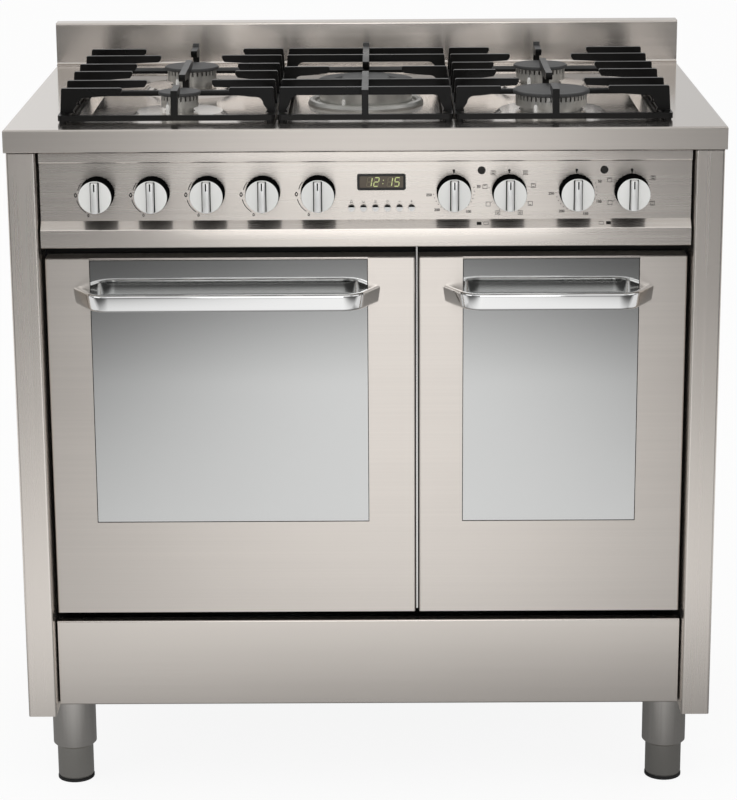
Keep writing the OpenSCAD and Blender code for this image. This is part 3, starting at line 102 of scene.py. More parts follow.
class Graph:
    """A node tree under construction, with a short call for each node that the finishes use."""

    def __init__(self, tree: bpy.types.NodeTree) -> None:
        """Starts with an empty tree, a material's or the world's."""
        self.tree = tree
        tree.nodes.clear()

    def add(self, kind: str, **settings: object) -> bpy.types.Node:
        """Adds a node and sets its plain properties.

        Args:
            kind: the node's type name.
            settings: properties to set on it.

        Returns:
            The new node.
        """
        node = self.tree.nodes.new(kind)
        for key, value in settings.items():
            setattr(node, key, value)
        return node

    def link(self, source: Socket, target: Socket) -> None:
        """Joins an output to an input."""
        self.tree.links.new(source, target)

    def feed(self, value: object, target: Socket) -> None:
        """Gives an input a number, or joins an output to it.

        Args:
            value: a socket or a number.
            target: the input.
        """
        if isinstance(value, (int, float)):
            target.default_value = value
        else:
            self.link(value, target)

    def place(self, stretch: Solid = (1.0, 1.0, 1.0)) -> Socket:
        """Object coordinates, multiplied along each axis.

        Args:
            stretch: the factor for X, Y and Z, in cycles per metre.

        Returns:
            The stretched coordinates.
        """
        coords = self.add("ShaderNodeTexCoord")
        scale = self.add("ShaderNodeMapping")
        scale.inputs["Scale"].default_value = stretch
        self.link(coords.outputs["Object"], scale.inputs["Vector"])
        return scale.outputs["Vector"]

    def noise(self, stretch: Solid, detail: float = 2.0, rough: float = 0.5) -> Socket:
        """A noise field from 0 to 1.

        Args:
            stretch: cycles per metre along X, Y and Z.
            detail: how many finer layers it has.
            rough: how strong the finer layers are.

        Returns:
            The noise value.
        """
        node = self.add("ShaderNodeTexNoise")
        node.inputs["Scale"].default_value = 1.0
        node.inputs["Detail"].default_value = detail
        node.inputs["Roughness"].default_value = rough
        self.link(self.place(stretch), node.inputs["Vector"])
        return node.outputs["Fac"]

    def math(self, what: str, a: object, b: object = 0.0) -> Socket:
        """One step of arithmetic.

        Args:
            what: the operation's name.
            a: a socket or a number.
            b: a socket or a number.

        Returns:
            The result.
        """
        node = self.add("ShaderNodeMath", operation=what)
        for value, target in zip((a, b), node.inputs):
            self.feed(value, target)
        return node.outputs[0]

    def times(self, a: object, b: object) -> Socket:
        """The product of two sockets or numbers."""
        return self.math("MULTIPLY", a, b)

    def plus(self, a: object, b: object) -> Socket:
        """The sum of two sockets or numbers."""
        return self.math("ADD", a, b)

    def square(self, value: Socket) -> Socket:
        """The value times itself."""
        return self.times(value, value)

    def span(self, value: Socket, old: Flat, new: Flat) -> Socket:
        """A value moved from one range to another and kept inside it.

        Args:
            value: the value.
            old: its range.
            new: the wanted range.

        Returns:
            The moved value.
        """
        node = self.add("ShaderNodeMapRange")
        for index, number in enumerate((*old, *new), start=1):
            node.inputs[index].default_value = number
        self.link(value, node.inputs["Value"])
        return node.outputs["Result"]

    def blend(self, share: Socket, a: Colour, b: Colour) -> Socket:
        """A colour between two colours.

        Args:
            share: 0 for the first colour, 1 for the second.
            a: the first colour.
            b: the second colour.

        Returns:
            The colour.
        """
        ramp = self.add("ShaderNodeValToRGB")
        ramp.color_ramp.elements[0].color = (*a, 1.0)
        ramp.color_ramp.elements[1].color = (*b, 1.0)
        self.link(share, ramp.inputs["Fac"])
        return ramp.outputs["Color"]

    def swing(self, share: Socket, colour: Colour, down: float, up: float) -> Socket:
        """A colour round a middle: darker by down where the share is 0, and paler by up where it is 1."""
        return self.blend(share, tinted(colour, 1 - down), tinted(colour, 1 + up))

    def over(self, share: Socket, a: Socket, b: Socket) -> Socket:
        """Colour a where the share is 0, and colour b where it is 1.

        Args:
            share: the share of the second colour.
            a: the first colour's socket.
            b: the second colour's socket.

        Returns:
            The colour.
        """
        node = self.add("ShaderNodeMix", data_type="RGBA")
        self.link(share, node.inputs["Factor"])
        self.link(a, node.inputs[6])
        self.link(b, node.inputs[7])
        return node.outputs[2]

    def mix(self, share: object, first: Socket, second: Socket) -> Socket:
        """The first shader where the share is 0, and the second where it is 1.

        Args:
            share: the second shader's share, a socket or a number.
            first: the first shader.
            second: the second shader.

        Returns:
            The shader.
        """
        node = self.add("ShaderNodeMixShader")
        for value, target in zip((share, first, second), node.inputs):
            self.feed(value, target)
        return node.outputs["Shader"]

    def bump(self, height: Socket, depth: float) -> Socket:
        """A normal bent by a height field.

        Args:
            height: the height field, from 0 to 1.
            depth: the height of 1, in metres.

        Returns:
            The normal.
        """
        node = self.add("ShaderNodeBump")
        node.inputs["Strength"].default_value = 1.0
        node.inputs["Distance"].default_value = depth
        self.link(height, node.inputs["Height"])
        return node.outputs["Normal"]

    def axis(self, name: str) -> Socket:
        """One of the object's coordinates, in metres.

        Args:
            name: X, Y or Z.

        Returns:
            The coordinate.
        """
        split = self.add("ShaderNodeSeparateXYZ")
        self.link(self.place(), split.inputs["Vector"])
        return split.outputs[name]


def mm(*pairs: Flat) -> tuple[Flat, ...]:
    """Pairs of sizes that are given in millimetres."""
    return tuple((a * MM, b * MM) for a, b in pairs)


def tinted(colour: Colour, factor: float) -> Colour:
    """The colour, lighter or darker by a factor."""
    return (colour[0] * factor, colour[1] * factor, colour[2] * factor)


# Finishes


class Grain(Enum):
    """The direction of the brushing lines on a steel sheet."""

    ACROSS = (1.2, 260.0, 260.0)
    UPRIGHT = (260.0, 260.0, 1.2)
    FINE = (700.0, 700.0, 700.0)


@dataclass(frozen=True)
class Finish:
    """A surface finish, made once as a node material and shared by its pieces.

    A subclass overrides dress to add its own texture nodes.
    """

    name: str
    colour: Colour
    rough: float = 0.5
    metal: float = 0.0
    grain_size: float = 1.0 * MM
    relief: float = 0.02 * MM
    spread: float = 0.12
    shine: float = 0.5
    clouds: Solid = (9.0, 9.0, 9.0)
    rough_swing: float = 0.04

    def material(self) -> bpy.types.Material:
        """Finds the material, or makes it the first time.

        Returns:
            The material.
        """
        found = bpy.data.materials.get(self.name)
        if found:
            return found
        made = bpy.data.materials.new(self.name)
        made.use_nodes = True
        graph = Graph(made.node_tree)
        out = graph.add("ShaderNodeOutputMaterial")
        shader = graph.add("ShaderNodeBsdfPrincipled")
        shader.inputs["Metallic"].default_value = self.metal
        shader.inputs["Roughness"].default_value = self.rough
        shader.inputs["Specular IOR Level"].default_value = self.shine
        graph.link(shader.outputs["BSDF"], out.inputs["Surface"])
        self.dress(graph, shader)
        return made

    def dress(self, graph: Graph, shader: bpy.types.Node) -> None:
        """Adds the plain grain that moulded, cast and painted surfaces have.

        Args:
            graph: the material's tree.
            shader: its shader.
        """
        grain = graph.noise(self.fine(), 3.0)
        cloud = graph.noise(self.clouds, 2.0)
        tone = graph.plus(graph.times(grain, 0.5), graph.times(cloud, 0.5))
        graph.link(graph.swing(tone, self.colour, self.spread, self.spread), shader.inputs["Base Color"])
        graph.link(graph.span(cloud, NOISE_MIDDLE, self.rough_range()), shader.inputs["Roughness"])
        graph.link(graph.bump(grain, self.relief), shader.inputs["Normal"])

    def fine(self) -> Solid:
        """The cycles per metre of the finest grain."""
        return (1.0 / self.grain_size,) * 3

    def rough_range(self) -> Flat:
        """The least and the greatest roughness."""
        return (self.rough - self.rough_swing, self.rough + self.rough_swing)


@dataclass(frozen=True)
class BrushedSteel(Finish):
    """Stainless sheet with fine parallel brushing lines, soft clouds and a stretched highlight, and, if
    asked, painted shade in front of a given depth.
    """

    metal: float = 1.0
    clouds: Solid = (3.1, 3.1, 4.3)
    rough_swing: float = 0.03
    grain: Grain = Grain.ACROSS
    line_share: float = 0.42
    band_share: float = 0.2
    cloud_share: float = 0.38
    band_width: float = 5.0
    band_least: float = 0.8
    paler_share: float = 0.6
    stretch: float = 0.75
    round_dial: bool = False
    turned: float = 0.25
    # In front of front_y the sheet is rougher, and its colour is darker by a factor: painted shade, used on
    # the worktop's fascia
    front_y: float = 0.0
    front_step: float = 2.0 * MM
    front_rough: float = 0.3
    front_painted_shade: float = 0.87
    sharp_share: float = 0.0
    sharp_rough: float = 0.1

    def dress(self, graph: Graph, shader: bpy.types.Node) -> None:
        """Adds the brushing lines.

        Args:
            graph: the material's tree.
            shader: its shader.
        """
        tone = self.tone(graph)
        evened = graph.span(tone, NOISE_MIDDLE, UNIT)
        paler = self.spread * self.paler_share
        colour = graph.swing(evened, self.colour, self.spread, paler)
        rough = graph.span(tone, NOISE_WIDE, self.rough_range())
        # The darker colour in front of the depth is painted shade.
        if self.front_y:
            ahead = graph.span(graph.axis("Y"), (self.front_y, self.front_y + self.front_step), (1.0, 0.0))
            darker = graph.swing(evened, tinted(self.colour, self.front_painted_shade), self.spread, paler)
            colour = graph.over(ahead, colour, darker)
            rough = graph.math("MAXIMUM", rough, graph.times(ahead, self.front_rough))
        graph.link(colour, shader.inputs["Base Color"])
        graph.link(rough, shader.inputs["Roughness"])
        shader.inputs["Anisotropic"].default_value = self.stretch
        shader.inputs["Anisotropic Rotation"].default_value = self.turned
        graph.link(self.tangent(graph), shader.inputs["Tangent"])
        if self.sharp_share:
            self.add_sharp(graph, shader)

    def tone(self, graph: Graph) -> Socket:
        """The sheet's pattern: fine lines, wider bands and clouds.

        Args:
            graph: the material's tree.

        Returns:
            The pattern's value, from 0 to 1.
        """
        fine = self.grain.value
        coarse = tuple(max(self.band_least, value / self.band_width) for value in fine)
        lines = graph.noise(fine, 3.0, 0.7)
        bands = graph.noise(coarse, 2.0, 0.5)
        cloud = graph.noise(self.clouds, 3.0, 0.55)
        rest = graph.plus(graph.times(bands, self.band_share), graph.times(cloud, self.cloud_share))
        return graph.plus(graph.times(lines, self.line_share), rest)

    def tangent(self, graph: Graph) -> Socket:
        """The direction that the highlight is stretched by: along the sheets or round a dial.

        Args:
            graph: the material's tree.

        Returns:
            The direction.
        """
        if self.round_dial:
            return graph.add("ShaderNodeTangent", direction_type="RADIAL", axis="Y").outputs["Tangent"]
        along = graph.add("ShaderNodeCombineXYZ")
        for part, target in zip(ALONG_SHEETS, along.inputs):
            target.default_value = part
        return along.outputs["Vector"]

    def add_sharp(self, graph: Graph, shader: bpy.types.Node) -> None:
        """Mixes in the clear mirror image that brushed steel shows close to what it reflects.

        Args:
            graph: the material's tree.
            shader: its brushed shader.
        """
        out = shader.outputs["BSDF"].links[0].to_socket
        clear = graph.add("ShaderNodeBsdfPrincipled")
        clear.inputs["Metallic"].default_value = self.metal
        clear.inputs["Roughness"].default_value = self.sharp_rough
        graph.link(shader.inputs["Base Color"].links[0].from_socket, clear.inputs["Base Color"])
        graph.link(graph.mix(self.sharp_share, shader.outputs["BSDF"], clear.outputs["BSDF"]), out)


@dataclass(frozen=True)
class PolishedSteel(Finish):
    """Mirror-polished steel with faint wipe marks."""

    metal: float = 1.0
    clouds: Solid = (6.0, 30.0, 30.0)
    wiped: Flat = (0.35, 0.65)
    rough_factors: Flat = (0.7, 1.5)

    def dress(self, graph: Graph, shader: bpy.types.Node) -> None:
        """Adds the wipe marks.

        Args:
            graph: the material's tree.
            shader: its shader.
        """
        wipe = graph.noise(self.clouds, 3.0, 0.6)
        graph.link(graph.swing(wipe, self.colour, self.spread, 0.0), shader.inputs["Base Color"])
        smooth, dull = self.rough_factors
        rough = graph.span(wipe, self.wiped, (self.rough * smooth, self.rough * dull))
        graph.link(rough, shader.inputs["Roughness"])


@dataclass(frozen=True)
class Enamel(Finish):
    """Fired enamel: glossy, dark, with fine pale speckles."""

    clouds: Solid = (12.0, 12.0, 12.0)
    speckle: Colour = (0.3, 0.3, 0.3)
    speckle_cycles: float = 900.0
    speckle_edge: Flat = (0.66, 0.72)
    wave_cycles: float = 160.0
    coat: float = 0.4
    coat_rough: float = 0.12

    def dress(self, graph: Graph, shader: bpy.types.Node) -> None:
        """Adds the speckles and the slight waviness of the fired coat.

        Args:
            graph: the material's tree.
            shader: its shader.
        """
        spots = graph.noise((self.speckle_cycles,) * 3, 1.0)
        shown = graph.span(spots, self.speckle_edge, UNIT)
        cloud = graph.noise(self.clouds, 2.0)
        base = graph.swing(cloud, self.colour, self.spread, self.spread)
        fleck = graph.swing(cloud, self.speckle, 0.0, 0.0)
        graph.link(graph.over(shown, base, fleck), shader.inputs["Base Color"])
        wave = graph.noise((self.wave_cycles,) * 3, 2.0)
        graph.link(graph.bump(wave, self.relief), shader.inputs["Normal"])
        shader.inputs["Coat Weight"].default_value = self.coat
        shader.inputs["Coat Roughness"].default_value = self.coat_rough


@dataclass(frozen=True)
class MirrorGlass(Finish):
    """Mirror-grey heat-reflecting glass that lets a little light through."""

    metal: float = 1.0
    clouds: Solid = (5.0, 5.0, 8.0)
    rough_factors: Flat = (0.6, 1.6)
    clear: float = 0.08

    def dress(self, graph: Graph, shader: bpy.types.Node) -> None:
        """Adds faint haze, and lets some of the oven show through.

        Args:
            graph: the material's tree.
            shader: its shader.
        """
        haze = graph.noise(self.clouds, 3.0, 0.6)
        graph.link(graph.swing(haze, self.colour, self.spread, 0.0), shader.inputs["Base Color"])
        smooth, dull = self.rough_factors
        rough = graph.span(haze, NOISE_MIDDLE, (self.rough * smooth, self.rough * dull))
        graph.link(rough, shader.inputs["Roughness"])
        shader.inputs["Alpha"].default_value = 1.0 - self.clear


@dataclass(frozen=True)
class Glow(Finish):
    """A lit segment of the clock."""

    strength: float = 1.0
    clouds: Solid = (120.0, 120.0, 120.0)
    spread: float = 0.18
    unlit_dark: Colour = (0.05, 0.06, 0.03)
    unlit_pale: Colour = (0.07, 0.08, 0.04)

    def dress(self, graph: Graph, shader: bpy.types.Node) -> None:
        """Adds the light, a little uneven as in a vacuum-fluorescent display.

        Args:
            graph: the material's tree.
            shader: its shader.
        """
        uneven = graph.noise(self.clouds, 1.0)
        lit = graph.swing(uneven, self.colour, self.spread, 0.0)
        graph.link(graph.blend(uneven, self.unlit_dark, self.unlit_pale), shader.inputs["Base Color"])
        graph.link(lit, shader.inputs["Emission Color"])
        shader.inputs["Emission Strength"].default_value = self.strength


class Border(Enum):
    """Where a two-tone finish changes: at a depth, at a height or at a radius."""

    DEPTH = "Y"
    HEIGHT = "Z"
    RADIUS = "R"


@dataclass(frozen=True)
class TwoTone(Finish):
    """A finish that changes to another colour and gloss past a plane or a radius of the part.

    The change lies at a fixed place on the piece, as a masked or fitted area does; on the buttons the black
    upper part is painted shade.
    """

    other: Colour = (0.5, 0.5, 0.5)
    other_rough: float = 0.3
    other_metal: float = 0.0
    other_spread: float = 0.04
    border: Border = Border.HEIGHT
    limit: float = 0.0
    centre: Flat = (0.0, 0.0)

    def dress(self, graph: Graph, shader: bpy.types.Node) -> None:
        """Adds both finishes and the border between them.

        Args:
            graph: the material's tree.
            shader: its shader.
        """
        past = self.past(graph)
        grain = graph.noise(self.fine(), 2.0)
        first = graph.swing(grain, self.colour, self.spread, self.spread)
        second = graph.swing(grain, self.other, self.other_spread, 0.0)
        graph.link(graph.over(past, first, second), shader.inputs["Base Color"])
        graph.link(graph.span(past, UNIT, (self.rough, self.other_rough)), shader.inputs["Roughness"])
        graph.link(graph.span(past, UNIT, (self.metal, self.other_metal)), shader.inputs["Metallic"])
        graph.link(graph.bump(grain, self.relief), shader.inputs["Normal"])

    def past(self, graph: Graph) -> Socket:
        """Where the second finish is: outside the radius, or below or in front of the plane.

        Args:
            graph: the material's tree.

        Returns:
            1 there, and 0 elsewhere.
        """
        if self.border is not Border.RADIUS:
            return graph.math("LESS_THAN", graph.axis(self.border.value), self.limit)
        x = graph.math("SUBTRACT", graph.axis("X"), self.centre[0])
        y = graph.math("SUBTRACT", graph.axis("Y"), self.centre[1])
        length = graph.math("SQRT", graph.plus(graph.square(x), graph.square(y)))
        return graph.math("GREATER_THAN", length, self.limit)


class Finishes:
    """All the finishes of the cooker, by the part of it that wears them."""

    across = BrushedSteel("steel_brushed_across", STEEL, rough=0.29, spread=0.06, stretch=0.85)
    # The panel's paler tint of the steel is painted light.
    panel = BrushedSteel(
        "steel_panel", tinted(STEEL, 1.08), rough=0.27, spread=0.1, stretch=0.85, sharp_share=0.22
    )
    # The worktop's darker tint of the steel is painted shade.
    worktop = BrushedSteel(
        "steel_worktop",
        tinted(STEEL, 0.94),
        rough=0.13,
        spread=0.06,
        stretch=0.8,
        front_y=FASCIA_Y,
        front_rough=0.33,
    )
    # The posts are the same steel as the rest; their paler tints, the left one's most, are painted light.
    left_post = BrushedSteel(
        "steel_left_post", tinted(STEEL, 1.23), rough=0.27, spread=0.04, grain=Grain.UPRIGHT, stretch=0.3
    )
    right_post = BrushedSteel(
        "steel_right_post", tinted(STEEL, 1.11), rough=0.27, spread=0.04, grain=Grain.UPRIGHT, stretch=0.3
    )
    splash = BrushedSteel("steel_splashback", STEEL, rough=0.23, spread=0.06, stretch=0.5)
    # The flap's paler tint of the steel is painted light.
    flap = BrushedSteel("steel_flap", tinted(STEEL, 1.08), rough=0.22, spread=0.04, stretch=0.4)
    foot = BrushedSteel(
        "steel_foot", (0.82, 0.79, 0.75), rough=0.19, grain=Grain.UPRIGHT, stretch=0.3
    )
    leg = TwoTone(
        "steel_leg_with_pad",
        (0.66, 0.64, 0.6),
        rough=0.2,
        metal=1.0,
        other=(0.015, 0.015, 0.015),
        other_rough=0.6,
        limit=PAD_TOP_Z,
        relief=0.004 * MM,
    )
    zinc = Finish("zinc_sheet", (0.56, 0.57, 0.58), rough=0.42, metal=1.0, grain_size=6 * MM, spread=0.1)
    polished = PolishedSteel("steel_polished", (0.9, 0.9, 0.895), rough=0.05, spread=0.04)
    wire = PolishedSteel("chrome_wire", (0.8, 0.8, 0.79), rough=0.12, spread=0.05)
    iron = Finish(
        "cast_iron_enamelled",
        (0.005, 0.0047, 0.0044),
        rough=0.3,
        grain_size=0.9 * MM,
        relief=0.05 * MM,
        spread=0.35,
        shine=0.22,
    )
    cap = Finish(
        "burner_cap_enamel", (0.045,) * 3, rough=0.5, grain_size=1.6 * MM, relief=0.2 * MM, spread=0.6
    )
    crown = TwoTone(
        "burner_aluminium",
        (0.78, 0.77, 0.74),
        rough=0.17,
        metal=1.0,
        grain_size=0.9 * MM,
        border=Border.RADIUS,
        limit=WOK_RING_RADIUS,
        centre=WOK_CENTRE,
        other=(0.9, 0.89, 0.87),
        other_rough=0.09,
        other_metal=1.0,
    )
    frame = TwoTone(
        "frame_black_enamel",
        (0.005, 0.005, 0.005),
        rough=0.35,
        shine=0.12,
        border=Border.DEPTH,
        limit=FRAME_STRIP_Y,
        other=(0.8, 0.79, 0.77),
        other_rough=0.18,
        other_metal=1.0,
    )
    black = Finish("black_enamel", (0.012, 0.012, 0.0125), rough=0.32, grain_size=2 * MM, relief=0.01 * MM)
    oven = Enamel("oven_enamel", (0.03, 0.031, 0.034), rough=0.22, speckle=(0.25, 0.25, 0.26))
    pane = MirrorGlass("door_glass_mirror", (0.7, 0.705, 0.7), rough=0.05, spread=0.04)
    inner = MirrorGlass("door_glass_inner", (0.3, 0.3, 0.3), rough=0.06, spread=0.05, metal=0.0, clear=0.72)
    seal = Finish("seal_rubber", (0.02,) * 3, rough=0.8, grain_size=1.5 * MM, relief=0.2 * MM, spread=0.3)
    brass = Finish("brass", (0.72, 0.53, 0.27), rough=0.3, metal=1.0, grain_size=0.8 * MM, spread=0.08)
    white = Finish("white_plastic", (0.78, 0.78, 0.76), rough=0.45, grain_size=1.2 * MM, spread=0.03)
    ceramic = Finish("spark_ceramic", (0.86, 0.85, 0.82), rough=0.25, grain_size=0.6 * MM, spread=0.04)
    heated = Finish(
        "element_heated_steel", (0.3, 0.26, 0.24), rough=0.42, metal=1.0, grain_size=4 * MM, spread=0.25
    )
    skirt = Finish(
        "knob_black", (0.004,) * 3, rough=0.7, grain_size=1.5 * MM, relief=0.005 * MM, shine=0.0
    )
    silver = BrushedSteel(
        "knob_silver",
        (0.84, 0.835, 0.82),
        rough=0.27,
        spread=0.04,
        grain=Grain.FINE,
        round_dial=True,
        turned=0.0,
    )
    grip = Finish(
        "grip_silver",
        (0.88, 0.88, 0.87),
        rough=0.36,
        metal=0.7,
        grain_size=0.6 * MM,
        relief=0.003 * MM,
        spread=0.04,
    )
    bezel = Finish("clock_bezel", (0.012, 0.011, 0.01), rough=0.2, grain_size=1 * MM, relief=0.002 * MM)
    window = Finish("clock_window", (0.105, 0.084, 0.062), rough=0.16, grain_size=4 * MM, relief=0.001 * MM)
    lit = Glow("clock_digits", (0.6, 0.66, 0.28), rough=0.4)
    unlit = Finish("clock_ghosts", (0.15, 0.13, 0.08), rough=0.3, grain_size=1 * MM)
    ink = Finish(
        "panel_ink",
        (0.02, 0.019, 0.018),
        rough=0.7,
        grain_size=0.5 * MM,
        relief=0.001 * MM,
        spread=0.2,
        shine=0.1,
    )
    lamp = Finish(
        "lamp_smoked_lens", (0.022, 0.02, 0.018), rough=0.12, grain_size=2 * MM, relief=0.002 * MM
    )
    # Buttons: silver below a fixed height and black above it; the black over the head is painted shade.
    button = TwoTone(
        "button_silver",
        (0.006, 0.006, 0.006),
        rough=0.4,
        shine=0.1,
        limit=BUTTON_PAINTED_SHADE_Z,
        other=(0.86, 0.855, 0.84),
        other_rough=0.36,
        other_metal=0.75,
        relief=0.003 * MM,
    )


# Meshes


class Shape:
    """A mesh under construction in the row frame, as points and faces."""

    weld = 0.002 * MM
    bevel_steps = 3

    def __init__(self) -> None:
        """Starts empty."""
        self.points: list[Solid] = []
        self.faces: list[tuple[int, ...]] = []

    def grid(self, rows: Sequence[Sequence[Solid]], closed: bool, capped: bool) -> None:
        """Adds a skin over rows of points.

        Args:
            rows: rows of equal length.
            closed: whether each row is a ring.
            capped: whether the first and the last ring get a face.
        """
        start, width = len(self.points), len(rows[0])
        for row in rows:
            self.points.extend(row)
        for r in range(len(rows) - 1):
            for c in range(width if closed else width - 1):
                a, b = start + r * width + c, start + r * width + (c + 1) % width
                self.faces.append((a, b, b + width, a + width))
        if capped:
            last = start + (len(rows) - 1) * width
            self.faces.append(tuple(range(start + width - 1, start - 1, -1)))
            self.faces.append(tuple(range(last, last + width)))

    def turned(self, profile: Sequence[Flat], to_space: Placing, n: int = 48) -> None:
        """Adds a turned form, from a profile of (radius, height) that starts and ends on the axis."""
        rows = [[to_space(x, y, height) for x, y in circle(radius, n)] for radius, height in profile]
        self.grid(rows, closed=True, capped=True)

    def plate(self, outline: Sequence[Flat], low: float, high: float, to_space: Placing) -> None:
        """Adds a flat plate between two heights, from its outline as (across, up)."""
        rows = [[to_space(a, b, h) for a, b in outline] for h in (low, high)]
        self.grid(rows, closed=True, capped=True)

    def ring(
        self, outer: Sequence[Flat], inner: Sequence[Flat], low: float, high: float, to_space: Placing
    ) -> None:
        """Adds a plate with a hole, from two outlines of as many points."""
        loops = ((outer, low), (outer, high), (inner, high), (inner, low), (outer, low))
        self.grid([[to_space(a, b, h) for a, b in loop] for loop, h in loops], closed=True, capped=False)

    def mesh(self, name: str, bevel: float = 0.0, sharp: float = 35.0) -> bpy.types.Mesh:
        """Makes the mesh: welded, facing out, with rounded edges and smooth shading.

        Args:
            name: the mesh's name.
            bevel: the rounding of its sharp edges, in metres.
            sharp: the angle past which an edge is sharp, in degrees.

        Returns:
            The mesh.
        """
        built = bmesh.new()
        corners = [built.verts.new(p) for p in self.points]
        for face in self.faces:
            built.faces.new([corners[i] for i in face])
        bmesh.ops.remove_doubles(built, verts=built.verts, dist=self.weld)
        bmesh.ops.recalc_face_normals(built, faces=built.faces)
        limit = math.radians(sharp)
        if bevel > 0.0:
            edges = [e for e in built.edges if len(e.link_faces) == 2 and e.calc_face_angle(0.0) > limit]
            bmesh.ops.bevel(
                built,
                geom=edges,
                offset=bevel,
                segments=self.bevel_steps,
                profile=0.5,
                affect="EDGES",
                clamp_overlap=True,
            )
        made = bpy.data.meshes.new(name)
        built.to_mesh(made)
        built.free()
        made.shade_smooth()
        made.set_sharp_from_angle(angle=limit)
        return made


def in_front(cx: float, cz: float, face_y: float = PANEL_Y) -> Placing:
    """Places (right, up, out) in front of the point (cx, cz) of an upright face."""
    return lambda right, up, out: (cx + right, face_y - out, cz + up)


def on_top(cx: float, cy: float, z: float) -> Placing:
    """Places (right, back, up) over a level point."""
    return lambda right, back, up: (cx + right, cy + back, z + up)


def circle(radius: float, n: int = 16, centre: Flat = (0.0, 0.0)) -> list[Flat]:
    """Points round a circle."""
    angles = [2 * math.pi * k / n for k in range(n)]
    return [(centre[0] + radius * math.cos(a), centre[1] + radius * math.sin(a)) for a in angles]


def box_outline(half_w: float, half_h: float, centre: Flat = (0.0, 0.0)) -> list[Flat]:
    """The four corners of a rectangle."""
    left, right, low, high = centre[0] - half_w, centre[0] + half_w, centre[1] - half_h, centre[1] + half_h
    return [(left, low), (right, low), (right, high), (left, high)]


def clock_face(radius: float, degrees: float) -> Flat:
    """The point at an angle clockwise from the top of a dial."""
    angle = math.radians(degrees)
    return (radius * math.sin(angle), radius * math.cos(angle))


class Bench:
    """Puts finished pieces into the scene and dresses the CAD nodes."""

    weld = 0.01 * MM
    bevel_steps = 2
    least_angle = 40.0
    face_weight = 90

    def __init__(self, nodes: Nodes) -> None:
        """Keeps the frame's CAD nodes by name."""
        self.nodes = nodes

    def add(
        self,
        name: str,
        mesh: bpy.types.Mesh,
        body: str,
        finish: Finish,
        slot: str = "",
        stands_for: Iterable[str] = (),
    ) -> None:
        """slot: not used. the record's material slot.
            stands_for: CAD nodes that it replaces.
        """
        made = bpy.data.objects.new(name, mesh)
        bpy.context.scene.collection.objects.link(made)
        made.data.materials.append(finish.material())
        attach(made, body)
        if stands_for:
            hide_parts(*stands_for)
        log.info("piece %s on %s, %d faces", name, body, len(mesh.polygons))

    def fix(self, name: str, shape: Shape, finish: Finish, slot: str = "") -> None:
        """Adds a piece that is fixed to the cabinet."""
        self.add(name, shape.mesh(name), "cabinet", finish, slot)

    def dress(self, finish: Finish, *names: str, bevel: float = 0.0) -> None:
        """Gives CAD nodes a finish and, if asked, rounded edges.

        Args:
            finish: the finish.
            names: the nodes.
            bevel: the rounding of the edges, in metres.
        """
        for name in names:
            node = self.nodes[name]
            node.data.materials.clear()
            node.data.materials.append(finish.material())
            if bevel > 0.0:
                self.round_edges(node, bevel)
            log.info("node %s in %s", name, finish.name)

    def round_edges(self, node: bpy.types.Object, width: float) -> None:
        """Rounds a node's sharp edges with modifiers, so that its own mesh stays as imported.

        Args:
            node: the CAD node.
            width: the rounding, in metres.
        """
        weld = node.modifiers.new("weld", "WELD")
        weld.merge_threshold = self.weld
        bevel = node.modifiers.new("round", "BEVEL")
        bevel.width = width
        bevel.segments = self.bevel_steps
        bevel.limit_method = "ANGLE"
        bevel.angle_limit = math.radians(self.least_angle)
        bevel.use_clamp_overlap = True
        normals = node.modifiers.new("normals", "WEIGHTED_NORMAL")
        normals.keep_sharp = False
        normals.weight = self.face_weight


# Sub-assemblies


@dataclass
class Cabinet:
    """The sheet-metal body with its worktop, back and feet."""

    # A screw's head as radius and height behind the sheet, and its slot
    screw_head: tuple[Flat, ...] = mm((0.0, -1.6), (1.76, -1.6), (2.944, -0.96), (3.2, 0.0), (0.0, 0.0))
    slot_half: Flat = (1.984 * MM, 0.416 * MM)
    slot_low: float = -1.664 * MM
    slot_high: float = -1.44 * MM
    screw_steps: int = 20
    rear_screw_z: tuple[float, ...] = (0.16, 0.36, 0.56, 0.72)
    rear_screw_x: tuple[float, ...] = (-0.42, 0.42)
    rear_sheet: float = 1.2 * MM

    def dress(self, bench: Bench) -> None:
        """Dresses the sheets and adds the rear screws.

        Args:
            bench: where pieces are made.
        """
        bench.dress(Finishes.worktop, "worktop")
        bench.dress(Finishes.splash, "splashback")
        bench.dress(Finishes.left_post, "left_side_panel")
        bench.dress(Finishes.right_post, "right_side_panel")
        bench.dress(Finishes.zinc, "back_panel", "base_chassis", "hinge_brackets")
        bench.dress(Finishes.frame, "front_frame")
        bench.dress(Finishes.foot, "foot_sleeves")
        bench.dress(Finishes.leg, "foot_legs")
        self.rear_screws(bench)

    def rear_screws(self, bench: Bench) -> None:
        """Adds the screws that hold the back panel.

        Args:
            bench: where pieces are made.
        """
        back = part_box("back_panel")[0].y + self.rear_sheet
        slot = box_outline(*self.slot_half)
        shape = Shape()
        for x, z in itertools.product(self.rear_screw_x, self.rear_screw_z):
            place = in_front(x, z, back)
            shape.turned(self.screw_head, place, self.screw_steps)
            shape.plate(slot, self.slot_low, self.slot_high, place)
        bench.fix("rear_panel_screws", shape, Finishes.zinc, "zinc_sheet")


